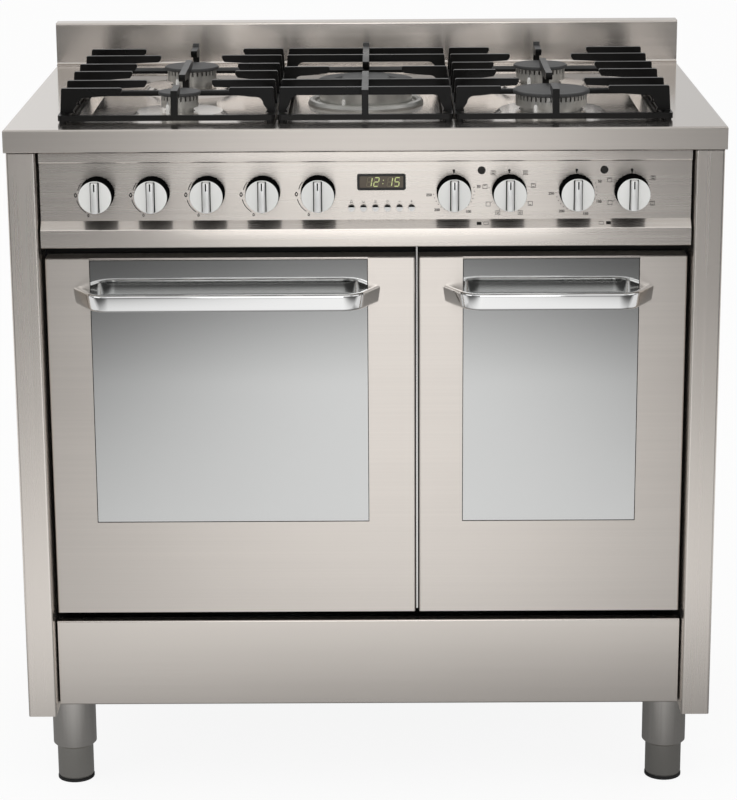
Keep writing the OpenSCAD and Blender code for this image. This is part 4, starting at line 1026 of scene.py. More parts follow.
@dataclass
class Hob:
    """The burners, their spark electrodes and the pan supports."""

    burner_x: float = 240.0 * MM
    front_y: float = -142.5 * MM
    rear_y: float = 86.5 * MM
    small_cap: float = 27.5 * MM
    middle_cap: float = 37.0 * MM
    large_cap: float = 49.5 * MM
    wok_cap: float = 64.0 * MM
    platform_z: float = 900.0 * MM
    wok_foot_z: float = 892.5 * MM
    iron_edge: float = 0.7 * MM
    # An electrode's ceramic body and its wire tip, as radius and height
    electrode: tuple[Flat, ...] = mm((0.0, 0.0), (2.4, 0.0), (2.4, 10.0), (1.44, 12.5), (0.0, 12.5))
    tip: tuple[Flat, ...] = mm((0.0, 12.5), (0.7, 12.5), (0.7, 15.5), (0.0, 16.0))
    electrode_steps: int = 20
    tip_steps: int = 10
    electrode_out: float = 4.5 * MM
    electrode_angle: float = 205.0

    def burners(self) -> list[tuple[float, float, float, float]]:
        """The burners.

        Returns:
            For each, its centre's x and y, its cap's radius and the height of its foot.
        """
        left, right, z = -self.burner_x, self.burner_x, self.platform_z
        return [
            (left, self.front_y, self.small_cap, z),
            (left, self.rear_y, self.middle_cap, z),
            (right, self.front_y, self.large_cap, z),
            (right, self.rear_y, self.middle_cap, z),
            (*WOK_CENTRE, self.wok_cap, self.wok_foot_z),
        ]

    def dress(self, bench: Bench) -> None:
        """Dresses the burners and supports, and adds the electrodes.

        Args:
            bench: where pieces are made.
        """
        bench.dress(Finishes.zinc, "burner_bases")
        bench.dress(Finishes.crown, "burner_crowns")
        bench.dress(Finishes.cap, "burner_caps")
        supports = (f"pan_support_{place}" for place in ("left", "middle", "right"))
        bench.dress(Finishes.iron, *supports, bevel=self.iron_edge)
        self.electrodes(bench)

    def electrodes(self, bench: Bench) -> None:
        """Adds a ceramic electrode with its wire tip beside each burner.

        Args:
            bench: where pieces are made.
        """
        bodies, tips = Shape(), Shape()
        for x, y, cap, z in self.burners():
            across, back = clock_face(cap + self.electrode_out, self.electrode_angle)
            place = on_top(x + across, y + back, z)
            bodies.turned(self.electrode, place, self.electrode_steps)
            tips.turned(self.tip, place, self.tip_steps)
        bench.fix("spark_electrodes", bodies, Finishes.ceramic, "white_plastic")
        bench.fix("spark_tips", tips, Finishes.zinc, "zinc_sheet")


@dataclass
class Knob:
    """One dial: a black skirt, a domed silver face, a grip bar on a black slab of painted shade and a
    pointer slot.
    """

    node: str
    gap: float = 0.8 * MM
    face_out: float = 30.0 * MM
    face_radius: float = 20.55 * MM
    # How far the skirt's outline lies inside its radius, and above its foot or below its top
    foot_edge: tuple[Flat, ...] = mm((1.2, 0.0), (0.3, 0.4), (0.0, 1.2), (0.0, 6.0))
    head_edge: tuple[Flat, ...] = mm((0.6, 6.0), (0.9, 2.2), (1.4, 1.2), (2.6, 0.8))
    spindle_radius: float = 4.0 * MM
    spindle_in: float = 19.2 * MM
    spindle_lap: float = 1.0 * MM
    spindle_steps: int = 32
    # The same for the silver face, below the skirt's top
    rim_edge: tuple[Flat, ...] = mm((0.6, 1.5), (0.1, 1.1), (0.0, 0.5), (0.3, 0.1))
    dome: float = 1.12 * MM
    dome_inset: float = 0.8 * MM
    dome_steps: int = 7
    grip_low: float = 29.5 * MM
    grip_out: float = 38.0 * MM
    grip_width: float = 8.6 * MM
    grip_half: float = 19.4 * MM
    grip_edge: float = 1.5 * MM
    grip_steps: int = 6
    shade_width: float = 11.2 * MM
    shade_up: float = 0.25 * MM
    pointer_length: float = 9.5 * MM
    pointer_width: float = 1.7 * MM
    pointer_margin: float = 1.2 * MM
    pointer_in: float = 0.4 * MM
    pointer_up: float = 0.03 * MM
    turning_steps: int = 64

    def build(self, bench: Bench) -> None:
        """Builds the dial in place of its CAD node.

        Args:
            bench: where pieces are made.
        """
        low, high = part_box(self.node)
        place = in_front((low.x + high.x) / 2, (low.z + high.z) / 2)
        skirt = self.skirt((high.x - low.x) / 2, place)
        # The black slab under the grip, wider than it, is painted shade along the grip's sides.
        shade = self.bar(place, self.shade_width, self.face_out + self.dome + self.shade_up, 0.0)
        grip = self.bar(place, self.grip_width, self.grip_out, self.grip_edge)
        bench.add(f"{self.node}_skirt", skirt, self.node, Finishes.skirt, "knob_silver", [self.node])
        bench.add(f"{self.node}_face", self.face(place), self.node, Finishes.silver, "knob_silver")
        bench.add(f"{self.node}_grip_shade", shade, self.node, Finishes.skirt)
        bench.add(f"{self.node}_grip", grip, self.node, Finishes.grip)
        bench.add(f"{self.node}_pointer", self.pointer(place), self.node, Finishes.skirt)

    def skirt(self, radius: float, place: Placing) -> bpy.types.Mesh:
        """The black skirt with its spindle stub.

        Args:
            radius: the skirt's radius.
            place: places (right, up, out).

        Returns:
            The mesh.
        """
        gap, out, spindle = self.gap, self.face_out, self.spindle_radius
        profile = [(0.0, gap)]
        profile += [(radius - inset, gap + up) for inset, up in self.foot_edge]
        profile += [(radius - inset, out - down) for inset, down in self.head_edge]
        profile.append((0.0, profile[-1][1]))
        top, end = gap + self.spindle_lap, -self.spindle_in
        shape = Shape()
        shape.turned(profile, place, self.turning_steps)
        stub = [(0.0, top), (spindle, top), (spindle, end), (0.0, end)]
        shape.turned(stub, place, self.spindle_steps)
        return shape.mesh(f"{self.node}_skirt")

    def face(self, place: Placing) -> bpy.types.Mesh:
        """The domed silver face.

        Args:
            place: places (right, up, out).

        Returns:
            The mesh.
        """
        rim = [(self.face_radius - inset, self.face_out - down) for inset, down in self.rim_edge]
        profile = [(0.0, rim[0][1]), *rim]
        for k in range(1, self.dome_steps + 1):
            share = 1 - k / self.dome_steps
            rise = self.dome * (1 - share**2)
            profile.append(((self.face_radius - self.dome_inset) * share, self.face_out + rise))
        shape = Shape()
        shape.turned(profile, place, self.turning_steps)
        return shape.mesh(f"{self.node}_face")

    def bar(self, place: Placing, width: float, top: float, bevel: float) -> bpy.types.Mesh:
        """A bar across the face, with ends that follow the face's rim.

        Args:
            place: places (right, up, out).
            width: the bar's width.
            top: how far it stands out from the panel.
            bevel: the rounding of its edges.

        Returns:
            The mesh.
        """
        outline = []
        for way in (1, -1):
            for k in range(self.grip_steps + 1):
                x = way * (width / 2 - width * k / self.grip_steps)
                outline.append((x, way * math.sqrt(self.grip_half**2 - x * x)))
        shape = Shape()
        shape.plate(outline, self.grip_low, top, place)
        return shape.mesh(f"{self.node}_bar", bevel)

    def pointer(self, place: Placing) -> bpy.types.Mesh:
        """The black slot at the top of the grip.

        Args:
            place: places (right, up, out).

        Returns:
            The mesh.
        """
        half = self.pointer_length / 2
        middle = (0.0, self.grip_half - half - self.pointer_margin)
        outline = box_outline(self.pointer_width / 2, half, middle)
        shape = Shape()
        shape.plate(outline, self.grip_out - self.pointer_in, self.grip_out + self.pointer_up, place)
        return shape.mesh(f"{self.node}_pointer")


class Mark(Enum):
    """The small generic signs on the panel."""

    SQUARE = "square"
    LINE_TOP = "line over"
    LINE_BOTTOM = "line under"
    BOTH = "lines over and under"
    CROSS = "cross"
    FAN = "ring"


@dataclass
class ControlPanel:
    """The control panel: its sheet, printed marks, knobs, buttons, lamps and what lies behind."""

    edge: float = 0.5 * MM
    button_edge: float = 0.6 * MM
    ink_out: float = 0.06 * MM
    line: float = 0.7 * MM
    arc_factor: float = 1.3
    arc_steps: int = 10
    gas_drop: float = 2.5 * MM
    flame_ring: float = 26.8 * MM
    flame_steps: int = 18
    # A flame's half width and half height, how much it narrows to its top, and its hole, as
    # shares of its height
    flame_half: Flat = (0.34, 0.5)
    flame_narrow: float = 0.55
    flame_hole: float = 0.45
    flame_hole_down: float = 0.04
    # Each arc's step out from the flames' ring, with the clock angles of its ends
    gas_arcs: tuple[tuple[float, float, float], ...] = ((-1.8 * MM, -52.0, -76.0), (0.0, -104.0, -146.0))
    # Each flame's height, step out from the ring, and clock angle
    flames: tuple[tuple[float, float, float], ...] = (
        (6.2 * MM, 0.6 * MM, -90.0),
        (4.4 * MM, 1.8 * MM, -155.0),
    )
    mark_ring: float = 31.0 * MM
    icon_half: float = 2.9 * MM
    icon_line: float = 0.56 * MM
    icon_reach: float = 1.45 * MM
    ring_steps: int = 14
    index_radius: float = 1.7 * MM
    index_ring: float = 26.4 * MM
    index_tail: Flat = (25.2 * MM, 22.8 * MM)
    index_width: float = 1.6 * MM
    dot_ring: float = 25.6 * MM
    dot_radius: float = 0.62 * MM
    dot_steps: int = 8
    dot_gaps: int = 17
    tick: Flat = (-1.2 * MM, 1.6 * MM)
    tick_width: float = 0.3 * MM
    number_height: float = 3.5 * MM
    number_ring: float = 31.6 * MM
    letter_body: float = 1.35
    letter_middle: float = 0.45
    letter_thick: float = 0.03 * MM
    letter_bold: float = 0.16 * MM
    gas: tuple[str, ...] = tuple(f"gas_knob_{i}" for i in range(1, 6))
    oven: tuple[str, ...] = (
        "main_thermostat_knob",
        "main_selector_knob",
        "small_thermostat_knob",
        "small_selector_knob",
    )
    # Each number's clock angle
    main_scale: tuple[tuple[str, float], ...] = (
        ("50", 79.0),
        ("100", 145.0),
        ("200", 222.0),
        ("250", 262.0),
    )
    small_scale: tuple[tuple[str, float], ...] = (
        ("50", 68.0),
        ("100", 116.0),
        ("150", 158.0),
        ("200", 215.0),
        ("250", 264.0),
    )
    main_signs: tuple[tuple[Mark, float], ...] = (
        (Mark.CROSS, 41.0),
        (Mark.BOTH, 77.0),
        (Mark.LINE_BOTTOM, 121.0),
        (Mark.FAN, 153.0),
        (Mark.FAN, -153.0),
        (Mark.SQUARE, -122.0),
        (Mark.LINE_TOP, -79.0),
        (Mark.CROSS, -41.0),
    )
    small_signs: tuple[tuple[Mark, float], ...] = (
        (Mark.CROSS, 59.0),
        (Mark.BOTH, 122.0),
        (Mark.SQUARE, -120.0),
        (Mark.LINE_TOP, -64.0),
    )
    # The sloped ledge's two edges, as (y, z), and its prints: where they lie and which are filled
    ledge_low: Flat = (-279.0 * MM, 771.5 * MM)
    ledge_high: Flat = (-270.0 * MM, 781.0 * MM)
    ledge_signs: tuple[tuple[float, bool], ...] = (
        (142.5 * MM, True),
        (151.2 * MM, False),
        (296.0 * MM, False),
        (305.0 * MM, True),
    )
    ledge_sign_half: Flat = (3.0 * MM, 2.2 * MM)
    ledge_sign_line: float = 0.4 * MM
    ledge_ink: float = 0.16 * MM
    ledge_lift: float = 0.05 * MM

    def dress(self, bench: Bench) -> None:
        """Dresses the panel and builds its dials and marks.

        Args:
            bench: where pieces are made.
        """
        bench.dress(Finishes.panel, "control_panel", bevel=self.edge)
        bench.dress(Finishes.brass, "gas_rail", "gas_taps")
        bench.dress(Finishes.white, "oven_switches")
        bench.dress(Finishes.lamp, "indicator_lamps")
        bench.dress(Finishes.button, *(f"clock_button_{i}" for i in range(1, 7)), bevel=self.button_edge)
        for name in (*self.gas, *self.oven):
            Knob(name).build(bench)
        self.gas_marks(bench)
        self.oven_marks(bench)
        self.numbers(bench)
        self.signs_on_ledge(bench)

    def centre(self, node: str) -> Flat:
        """The middle of a node across and up."""
        low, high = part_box(node)
        return ((low.x + high.x) / 2, (low.z + high.z) / 2)

    def stroke(self, shape: Shape, a: Flat, b: Flat, place: Placing, width: float | None = None) -> None:
        """Adds a printed line.

        Args:
            shape: the mesh that it is added to.
            a: one end.
            b: the other end.
            place: places (right, up, out).
            width: its width, if not the usual one.
        """
        w = (self.line if width is None else width) / 2
        along = Vector((b[0] - a[0], b[1] - a[1]))
        side = Vector((-along.y, along.x)).normalized() * w
        outline = [
            (a[0] - side.x, a[1] - side.y),
            (b[0] - side.x, b[1] - side.y),
            (b[0] + side.x, b[1] + side.y),
            (a[0] + side.x, a[1] + side.y),
        ]
        shape.plate(outline, -INK_IN, self.ink_out, place)

    def arc(self, shape: Shape, radius: float, start: float, end: float, place: Placing) -> None:
        """Adds a printed arc.

        Args:
            shape: the mesh that it is added to.
            radius: its middle line's radius.
            start: the clock angle of one end, in degrees.
            end: the clock angle of the other end.
            place: places (right, up, out).
        """
        half = self.line * self.arc_factor / 2
        angles = [start + (end - start) * k / self.arc_steps for k in range(self.arc_steps + 1)]
        outer = [clock_face(radius + half, a) for a in angles]
        inner = [clock_face(radius - half, a) for a in reversed(angles)]
        shape.plate(outer + inner, -INK_IN, self.ink_out, place)

    def flame(self, shape: Shape, size: float, at: Flat, place: Placing) -> None:
        """Adds a printed flame outline: a ring that narrows to its top.

        Args:
            shape: the mesh that it is added to.
            size: its height.
            at: its middle.
            place: places (right, up, out).
        """
        drop = []
        for k in range(self.flame_steps):
            a = 2 * math.pi * k / self.flame_steps
            narrow = 1.0 - self.flame_narrow * max(0.0, math.sin(a))
            drop.append((math.cos(a) * self.flame_half[0] * narrow, math.sin(a) * self.flame_half[1]))
        hole = size * self.flame_hole
        outer = [(at[0] + x * size, at[1] + z * size) for x, z in drop]
        inner = [(at[0] + x * hole, at[1] + (z - self.flame_hole_down) * hole) for x, z in drop]
        shape.ring(outer, inner, -INK_IN, self.ink_out, place)

    def gas_marks(self, bench: Bench) -> None:
        """Prints the flame signs and arcs round the gas dials.

        Args:
            bench: where pieces are made.
        """
        shape = Shape()
        for name in self.gas:
            x, z = self.centre(name)
            place = in_front(x, z - self.gas_drop)
            for out, start, end in self.gas_arcs:
                self.arc(shape, self.flame_ring + out, start, end, place)
            for size, out, angle in self.flames:
                self.flame(shape, size, clock_face(self.flame_ring + out, angle), place)
        bench.fix("gas_dial_marks", shape, Finishes.ink)

    def sign(self, shape: Shape, mark: Mark, at: Flat, place: Placing) -> None:
        """Adds a printed square sign.

        Args:
            shape: the mesh that it is added to.
            mark: which sign.
            at: its middle.
            place: places (right, up, out).
        """
        half, hole = self.icon_half, self.icon_half - self.icon_line
        shape.ring(box_outline(half, half, at), box_outline(hole, hole, at), -INK_IN, self.ink_out, place)
        reach, (x, z) = self.icon_reach, at
        if mark in (Mark.LINE_TOP, Mark.BOTH, Mark.CROSS):
            self.stroke(shape, (x - reach, z + reach), (x + reach, z + reach), place)
        if mark in (Mark.LINE_BOTTOM, Mark.BOTH):
            self.stroke(shape, (x - reach, z - reach), (x + reach, z - reach), place)
        if mark is Mark.CROSS:
            self.stroke(shape, (x - reach, z - reach), (x + reach, z), place)
            self.stroke(shape, (x - reach, z), (x + reach, z - reach), place)
        if mark is Mark.FAN:
            outer, inner = (circle(r, self.ring_steps, at) for r in (reach, reach - self.line))
            shape.ring(outer, inner, -INK_IN, self.ink_out, place)

    def oven_marks(self, bench: Bench) -> None:
        """Prints the index marks, dots and signs round the oven dials.

        Args:
            bench: where pieces are made.
        """
        shape = Shape()
        top, bottom = ((0.0, up) for up in self.index_tail)
        index = circle(self.index_radius, centre=(0.0, self.index_ring))
        for name in self.oven:
            place = in_front(*self.centre(name))
            shape.plate(index, -INK_IN, self.ink_out, place)
            self.stroke(shape, top, bottom, place, self.index_width)
            if "thermostat" in name:
                self.dots(shape, self.main_scale if name.startswith("main") else self.small_scale, place)
            else:
                self.signs(shape, self.main_signs if name.startswith("main") else self.small_signs, place)
        bench.fix("oven_dial_marks", shape, Finishes.ink)

    def dots(self, shape: Shape, scale: Sequence[tuple[str, float]], place: Placing) -> None:
        """Adds the dots of a thermostat, from its first number to its last.

        Args:
            shape: the mesh that they are added to.
            scale: the numbers with their clock angles.
            place: places (right, up, out).
        """
        start, end = scale[0][1], scale[-1][1]
        for k in range(self.dot_gaps + 1):
            dot = clock_face(self.dot_ring, start + (end - start) * k / self.dot_gaps)
            shape.plate(circle(self.dot_radius, self.dot_steps, dot), -INK_IN, self.ink_out, place)

    def signs(self, shape: Shape, signs: Sequence[tuple[Mark, float]], place: Placing) -> None:
        """Adds the signs of a selector, each with its tick.

        Args:
            shape: the mesh that they are added to.
            signs: the signs with their clock angles.
            place: places (right, up, out).
        """
        for mark, angle in signs:
            self.sign(shape, mark, clock_face(self.mark_ring, angle), place)
            near, far = (clock_face(self.dot_ring + out, angle) for out in self.tick)
            self.stroke(shape, near, far, place, self.tick_width)

    def numbers(self, bench: Bench) -> None:
        """Prints the numbers of the two thermostats.

        Args:
            bench: where pieces are made.
        """
        for name, scale in ((self.oven[0], self.main_scale), (self.oven[2], self.small_scale)):
            x, z = self.centre(name)
            for digits, angle in scale:
                across, up = clock_face(self.number_ring, angle)
                self.number(bench, f"{name}_number_{digits}", digits, x + across, z + up)

    def number(self, bench: Bench, name: str, digits: str, x: float, z: float) -> None:
        """Prints one number as a thin raised mesh.

        Args:
            bench: where pieces are made.
            name: the piece's name.
            digits: the number.
            x: its middle across.
            z: its middle up.
        """
        curve = bpy.data.curves.new(name, "FONT")
        curve.body = digits
        curve.size = self.number_height * self.letter_body
        curve.align_x = "CENTER"
        curve.extrude = self.letter_thick
        curve.offset = self.letter_bold
        curve.resolution_u = 3
        holder = bpy.data.objects.new(name, curve)
        bpy.context.scene.collection.objects.link(holder)
        bpy.context.view_layer.update()
        evaluated = holder.evaluated_get(bpy.context.evaluated_depsgraph_get())
        mesh = bpy.data.meshes.new_from_object(evaluated)
        bpy.data.objects.remove(holder)
        bpy.data.curves.remove(curve)
        face_y, foot_z = PANEL_Y - self.letter_thick, z - self.number_height * self.letter_middle
        for vertex in mesh.vertices:
            right, up, out = vertex.co
            vertex.co = (x + right, face_y - out, foot_z + up)
        mesh.name = name
        bench.add(name, mesh, "cabinet", Finishes.ink)

    def signs_on_ledge(self, bench: Bench) -> None:
        """Prints the pairs of oven signs on the sloped ledge.

        Args:
            bench: where pieces are made.
        """
        low, high = Vector((0.0, *self.ledge_low)), Vector((0.0, *self.ledge_high))
        slope = (high - low).normalized()
        out = Vector((0.0, -slope.z, slope.y))
        half_w, half_h = self.ledge_sign_half
        outer = box_outline(half_w, half_h)
        inner = box_outline(half_w - self.ledge_sign_line, half_h - self.ledge_sign_line)
        shape = Shape()
        for x, filled in self.ledge_signs:
            base = (low + high) / 2 + Vector((x, 0.0, 0.0)) + out * self.ledge_lift

            def place(right: float, up: float, raised: float, base: Vector = base) -> Solid:
                """Places (right, up the slope, out of it)."""
                return tuple(base + Vector((right, 0.0, 0.0)) + slope * up + out * raised)

            if filled:
                shape.plate(outer, 0.0, self.ledge_ink, place)
            else:
                shape.ring(outer, inner, 0.0, self.ledge_ink, place)
        bench.fix("oven_side_signs", shape, Finishes.ink)


@dataclass
class Clock:
    """The digital clock: bezel, smoked window, lit digits and the signs over its buttons."""

    digit_height: float = 11.0 * MM
    digit_width: float = 5.6 * MM
    segment: float = 1.15 * MM
    segment_gap: float = 0.35
    slant: float = 0.16
    offsets: tuple[float, ...] = (-15.0 * MM, -6.2 * MM, 10.6 * MM, 19.6 * MM)
    shown: str = "1215"
    colon_x: float = 2.2 * MM
    colon_up: float = 2.2 * MM
    colon_radius: float = 0.6 * MM
    colon_steps: int = 10
    lit_low: float = 0.6 * MM
    lit_high: float = 0.68 * MM
    window_down: float = 10.5 * MM
    window_half: Flat = (27.3 * MM, 7.3 * MM)
    window_low: float = 0.32 * MM
    window_high: float = 0.62 * MM
    sign_up: float = 8.2 * MM
    sign_half: float = 1.4 * MM
    sign_line: float = 0.5 * MM
    pan_rim: float = 0.84 * MM
    bell_top: Flat = (0.7 * MM, 1.12 * MM)
    clapper: float = 0.5 * MM
    clapper_up: float = 1.82 * MM
    clapper_steps: int = 8
    ring_line: float = 0.4 * MM
    ring_steps: int = 14

    def dress(self, bench: Bench) -> None:
        """Dresses the clock and adds its window, digits and button signs.

        Args:
            bench: where pieces are made.
        """
        bench.dress(Finishes.bezel, "clock_display")
        low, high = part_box("clock_display")
        place = in_front((low.x + high.x) / 2, high.z - self.window_down)
        window = Shape()
        window.plate(box_outline(*self.window_half), self.window_low, self.window_high, place)
        bench.fix("clock_window", window, Finishes.window, "black_plastic")
        self.digits(bench, place)
        self.button_signs(bench)

    def corners(self) -> dict[str, tuple[Flat, Flat]]:
        """The end points of the seven segments of a digit.

        Returns:
            Segment letter to its two ends.
        """
        w, h = self.digit_width / 2, self.digit_height / 2
        return {
            "a": ((-w, h), (w, h)),
            "b": ((w, h), (w, 0.0)),
            "c": ((w, 0.0), (w, -h)),
            "d": ((-w, -h), (w, -h)),
            "e": ((-w, 0.0), (-w, -h)),
            "f": ((-w, h), (-w, 0.0)),
            "g": ((-w, 0.0), (w, 0.0)),
        }

    def digits(self, bench: Bench, place: Placing) -> None:
        """Adds the lit segments, the colon and the faint unlit segments.

        Args:
            bench: where pieces are made.
            place: places (right, up, out).
        """
        lit, unlit = Shape(), Shape()
        for digit, offset in zip(self.shown, self.offsets):
            for letter, (a, b) in self.corners().items():
                target = lit if letter in LIT_SEGMENTS[digit] else unlit
                self.bar(target, a, b, offset, place)
        for up in (self.colon_up, -self.colon_up):
            dot = circle(self.colon_radius, self.colon_steps, (self.colon_x + up * self.slant, up))
            lit.plate(dot, self.lit_low, self.lit_high, place)
        bench.fix("clock_digits_lit", lit, Finishes.lit)
        bench.fix("clock_digits_unlit", unlit, Finishes.unlit)

    def bar(self, shape: Shape, a: Flat, b: Flat, offset: float, place: Placing) -> None:
        """Adds one segment with pointed ends.

        Args:
            shape: the mesh that it is added to.
            a: one end.
            b: the other end.
            offset: the digit's place across.
            place: places (right, up, out).
        """
        half = self.segment / 2
        start, end = Vector(a), Vector(b)
        along = (end - start).normalized()
        side = Vector((-along.y, along.x)) * half
        start, end = start + along * half * self.segment_gap, end - along * half * self.segment_gap
        ring = [start, start + along * half + side, end - along * half + side, end]
        ring += [end - along * half - side, start + along * half - side]
        outline = [(offset + p.x + p.y * self.slant, p.y) for p in ring]
        shape.plate(outline, self.lit_low, self.lit_high, place)

    def button_signs(self, bench: Bench) -> None:
        """Prints a small generic sign over each button.

        Args:
            bench: where pieces are made.
        """
        shape = Shape()
        panel = ControlPanel()
        for i in range(1, 7):
            x, z = panel.centre(f"clock_button_{i}")
            self.button_sign(shape, panel, i, in_front(x, z + self.sign_up))
        bench.fix("button_signs", shape, Finishes.ink)

    def button_sign(self, shape: Shape, panel: ControlPanel, index: int, place: Placing) -> None:
        """Adds the sign of one button: bell, pan, waves, ring, minus or plus.

        Args:
            shape: the mesh that it is added to.
            panel: draws the strokes.
            index: the button's number from the left.
            place: places (right, up, out).
        """
        s, rim, (bell_x, bell_z) = self.sign_half, self.pan_rim, self.bell_top
        strokes: dict[int, list[tuple[Flat, Flat]]] = {
            1: [((-s, -s), (s, -s)), ((-s, -s), (-bell_x, bell_z)), ((s, -s), (bell_x, bell_z))],
            2: [((-s, rim), (-rim, -s)), ((-rim, -s), (rim, -s)), ((rim, -s), (s, rim))],
            3: [((-s, 0.0), (s, 0.0)), ((-s, -s), (s, -s)), ((-s, s), (s, s))],
            5: [((-s, 0.0), (s, 0.0))],
            6: [((-s, 0.0), (s, 0.0)), ((0.0, -s), (0.0, s))],
        }
        for a, b in strokes.get(index, []):
            panel.stroke(shape, a, b, place, self.sign_line)
        if index == 1:
            clapper = circle(self.clapper, self.clapper_steps, (0.0, self.clapper_up))
            shape.plate(clapper, 0.0, panel.ink_out, place)
        if index == 4:
            outer, inner = (circle(r, self.ring_steps) for r in (s, s - self.ring_line))
            shape.ring(outer, inner, 0.0, panel.ink_out, place)


@dataclass
class Door:
    """One oven door: brushed skin, mirror pane, liner, hinges and a polished strip handle."""

    side: str
    strip: float = 8.0 * MM
    strip_round: float = 3.4 * MM
    round_steps: int = 6
    bend: float = 34.0 * MM
    bend_steps: int = 16
    lean: float = 28.5 * MM
    tip_in: float = 2.6 * MM
    tip_curve: float = 1.5
    sharp_angle: float = 50.0
    seam: float = 0.9 * MM
    seam_out: float = 0.25 * MM
    pane_over: float = 12.05 * MM

    def dress(self, bench: Bench) -> None:
        """Dresses the door and builds its handle.

        Args:
            bench: where pieces are made.
        """
        name = f"{self.side}_door"
        bench.dress(Finishes.across, f"{name}_panel")
        bench.dress(Finishes.pane, f"{name}_outer_glass")
        bench.dress(Finishes.inner, f"{name}_inner_glass")
        bench.dress(Finishes.black, f"{name}_liner")
        bench.dress(Finishes.zinc, f"{name}_hinges")
        self.pane_seam(bench, name)
        self.handle(bench, name)

    def pane_seam(self, bench: Bench, name: str) -> None:
        """Adds the thin dark joint between the pane and the skin's window.

        Args:
            bench: where pieces are made.
            name: the door's name.
        """
        low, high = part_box(f"{name}_outer_glass")
        half_w = (high.x - low.x) / 2 - self.pane_over
        half_h = (high.z - low.z - self.pane_over) / 2
        centre_x, centre_z = (low.x + high.x) / 2, (low.z + self.pane_over + high.z) / 2
        outer, inner = box_outline(half_w, half_h), box_outline(half_w - self.seam, half_h - self.seam)
        shape = Shape()
        shape.ring(outer, inner, 0.0, self.seam_out, in_front(centre_x, centre_z, low.y))
        bench.add(f"{name}_pane_seam", shape.mesh(f"{name}_pane_seam"), name, Finishes.ink, "black_plastic")

    def handle(self, bench: Bench, name: str) -> None:
        """Builds the handle: a bent strip with rounded edges, in place of its CAD node.

        Args:
            bench: where pieces are made.
            name: the door's name.
        """
        low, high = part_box(f"{name}_handle")
        path = self.path(low, high)
        section = self.section((high.z - low.z) / 2)
        mid_z = (low.z + high.z) / 2
        rows = []
        for (x, y), (nx, ny) in path:
            rows.append([(x + nx * inward, y + ny * inward, mid_z + up) for inward, up in section])
        shape = Shape()
        shape.grid(rows, closed=True, capped=True)
        strip, node = f"{name}_handle_strip", f"{name}_handle"
        mesh = shape.mesh(strip, sharp=self.sharp_angle)
        bench.add(strip, mesh, name, Finishes.polished, "polished_steel", [node])

    def path(self, low: Vector, high: Vector) -> list[tuple[Flat, Flat]]:
        """The outer edge of the strip from one foot to the other, with the inward direction.

        Args:
            low: the handle's lowest corner.
            high: its highest corner.

        Returns:
            Points (x, y) with their inward directions.
        """
        r, stand = self.bend, high.y - low.y
        length = math.hypot(self.lean, stand)
        tilt = math.atan2(self.lean, stand)
        centre_x = self.lean + r * math.tan((math.pi / 2 - tilt) / 2)
        centre_y = low.y + r
        left = [((0.0, high.y), (length / stand, 0.0))]
        for k in range(self.bend_steps + 1):
            a = tilt + (math.pi / 2 - tilt) * k / self.bend_steps
            c, s = math.cos(a), math.sin(a)
            left.append(((centre_x - r * c, centre_y - r * s), (c, s)))
        found = [((low.x + x, y), inward) for (x, y), inward in left]
        found += [((high.x - x, y), (-nx, ny)) for (x, y), (nx, ny) in reversed(left)]
        return found

    def section(self, half: float) -> list[Flat]:
        """The strip's cross-section as (inward, up): rounded corners, and a front edge set back below.

        Args:
            half: half the strip's height.

        Returns:
            Its outline.
        """
        r, t = self.strip_round, self.strip
        low, high = r - half, half - r
        corners = (((r, high), 90.0), ((r, low), 180.0), ((t - r, low), 270.0), ((t - r, high), 0.0))
        found: list[Flat] = []
        for (inward, up), start in corners:
            for k in range(self.round_steps + 1):
                a = math.radians(start + 90.0 * k / self.round_steps)
                x, z = inward + r * math.cos(a), up + r * math.sin(a)
                tip = self.tip_in * ((half - z) / (2 * half)) ** self.tip_curve
                found.append((x + (t - x) / t * tip, z))
        return found


@dataclass
class Ovens:
    """What the open doors show: cavities, guides, shelves, elements, fan and seals."""

    seal_edge: float = 0.9 * MM

    def dress(self, bench: Bench) -> None:
        """Dresses the ovens' pieces.

        Args:
            bench: where pieces are made.
        """
        bench.dress(Finishes.oven, "main_oven_cavity", "small_oven_cavity", "fan_cover")
        bench.dress(Finishes.seal, "oven_seals", bevel=self.seal_edge)
        bench.dress(Finishes.wire, "shelf_guides", "oven_shelves")
        bench.dress(Finishes.heated, "grill_elements", "ring_element")
        bench.dress(Finishes.zinc, "fan_motor", "oven_fan")


@dataclass
class StorageFlap:
    """The drop-down flap under the ovens."""

    def dress(self, bench: Bench) -> None:
        """Gives the flap its finish."""
        bench.dress(Finishes.flap, "storage_flap")


# Studio


@dataclass(frozen=True)
class Lamp:
    """A soft rectangular lamp that points at the cooker."""

    name: str
    place: Solid
    size: Flat
    power: float

    def hang(self, target: Vector) -> None:
        """Hangs the lamp.

        Args:
            target: the point that it is aimed at.
        """
        data = bpy.data.lights.new(self.name, "AREA")
        data.shape = "RECTANGLE"
        data.energy = self.power
        data.size, data.size_y = self.size
        lamp = bpy.data.objects.new(self.name, data)
        bpy.context.scene.collection.objects.link(lamp)
        lamp.location = self.place
        lamp.rotation_mode = "QUATERNION"
        lamp.rotation_quaternion = (target - lamp.location).to_track_quat("-Z", "Y")


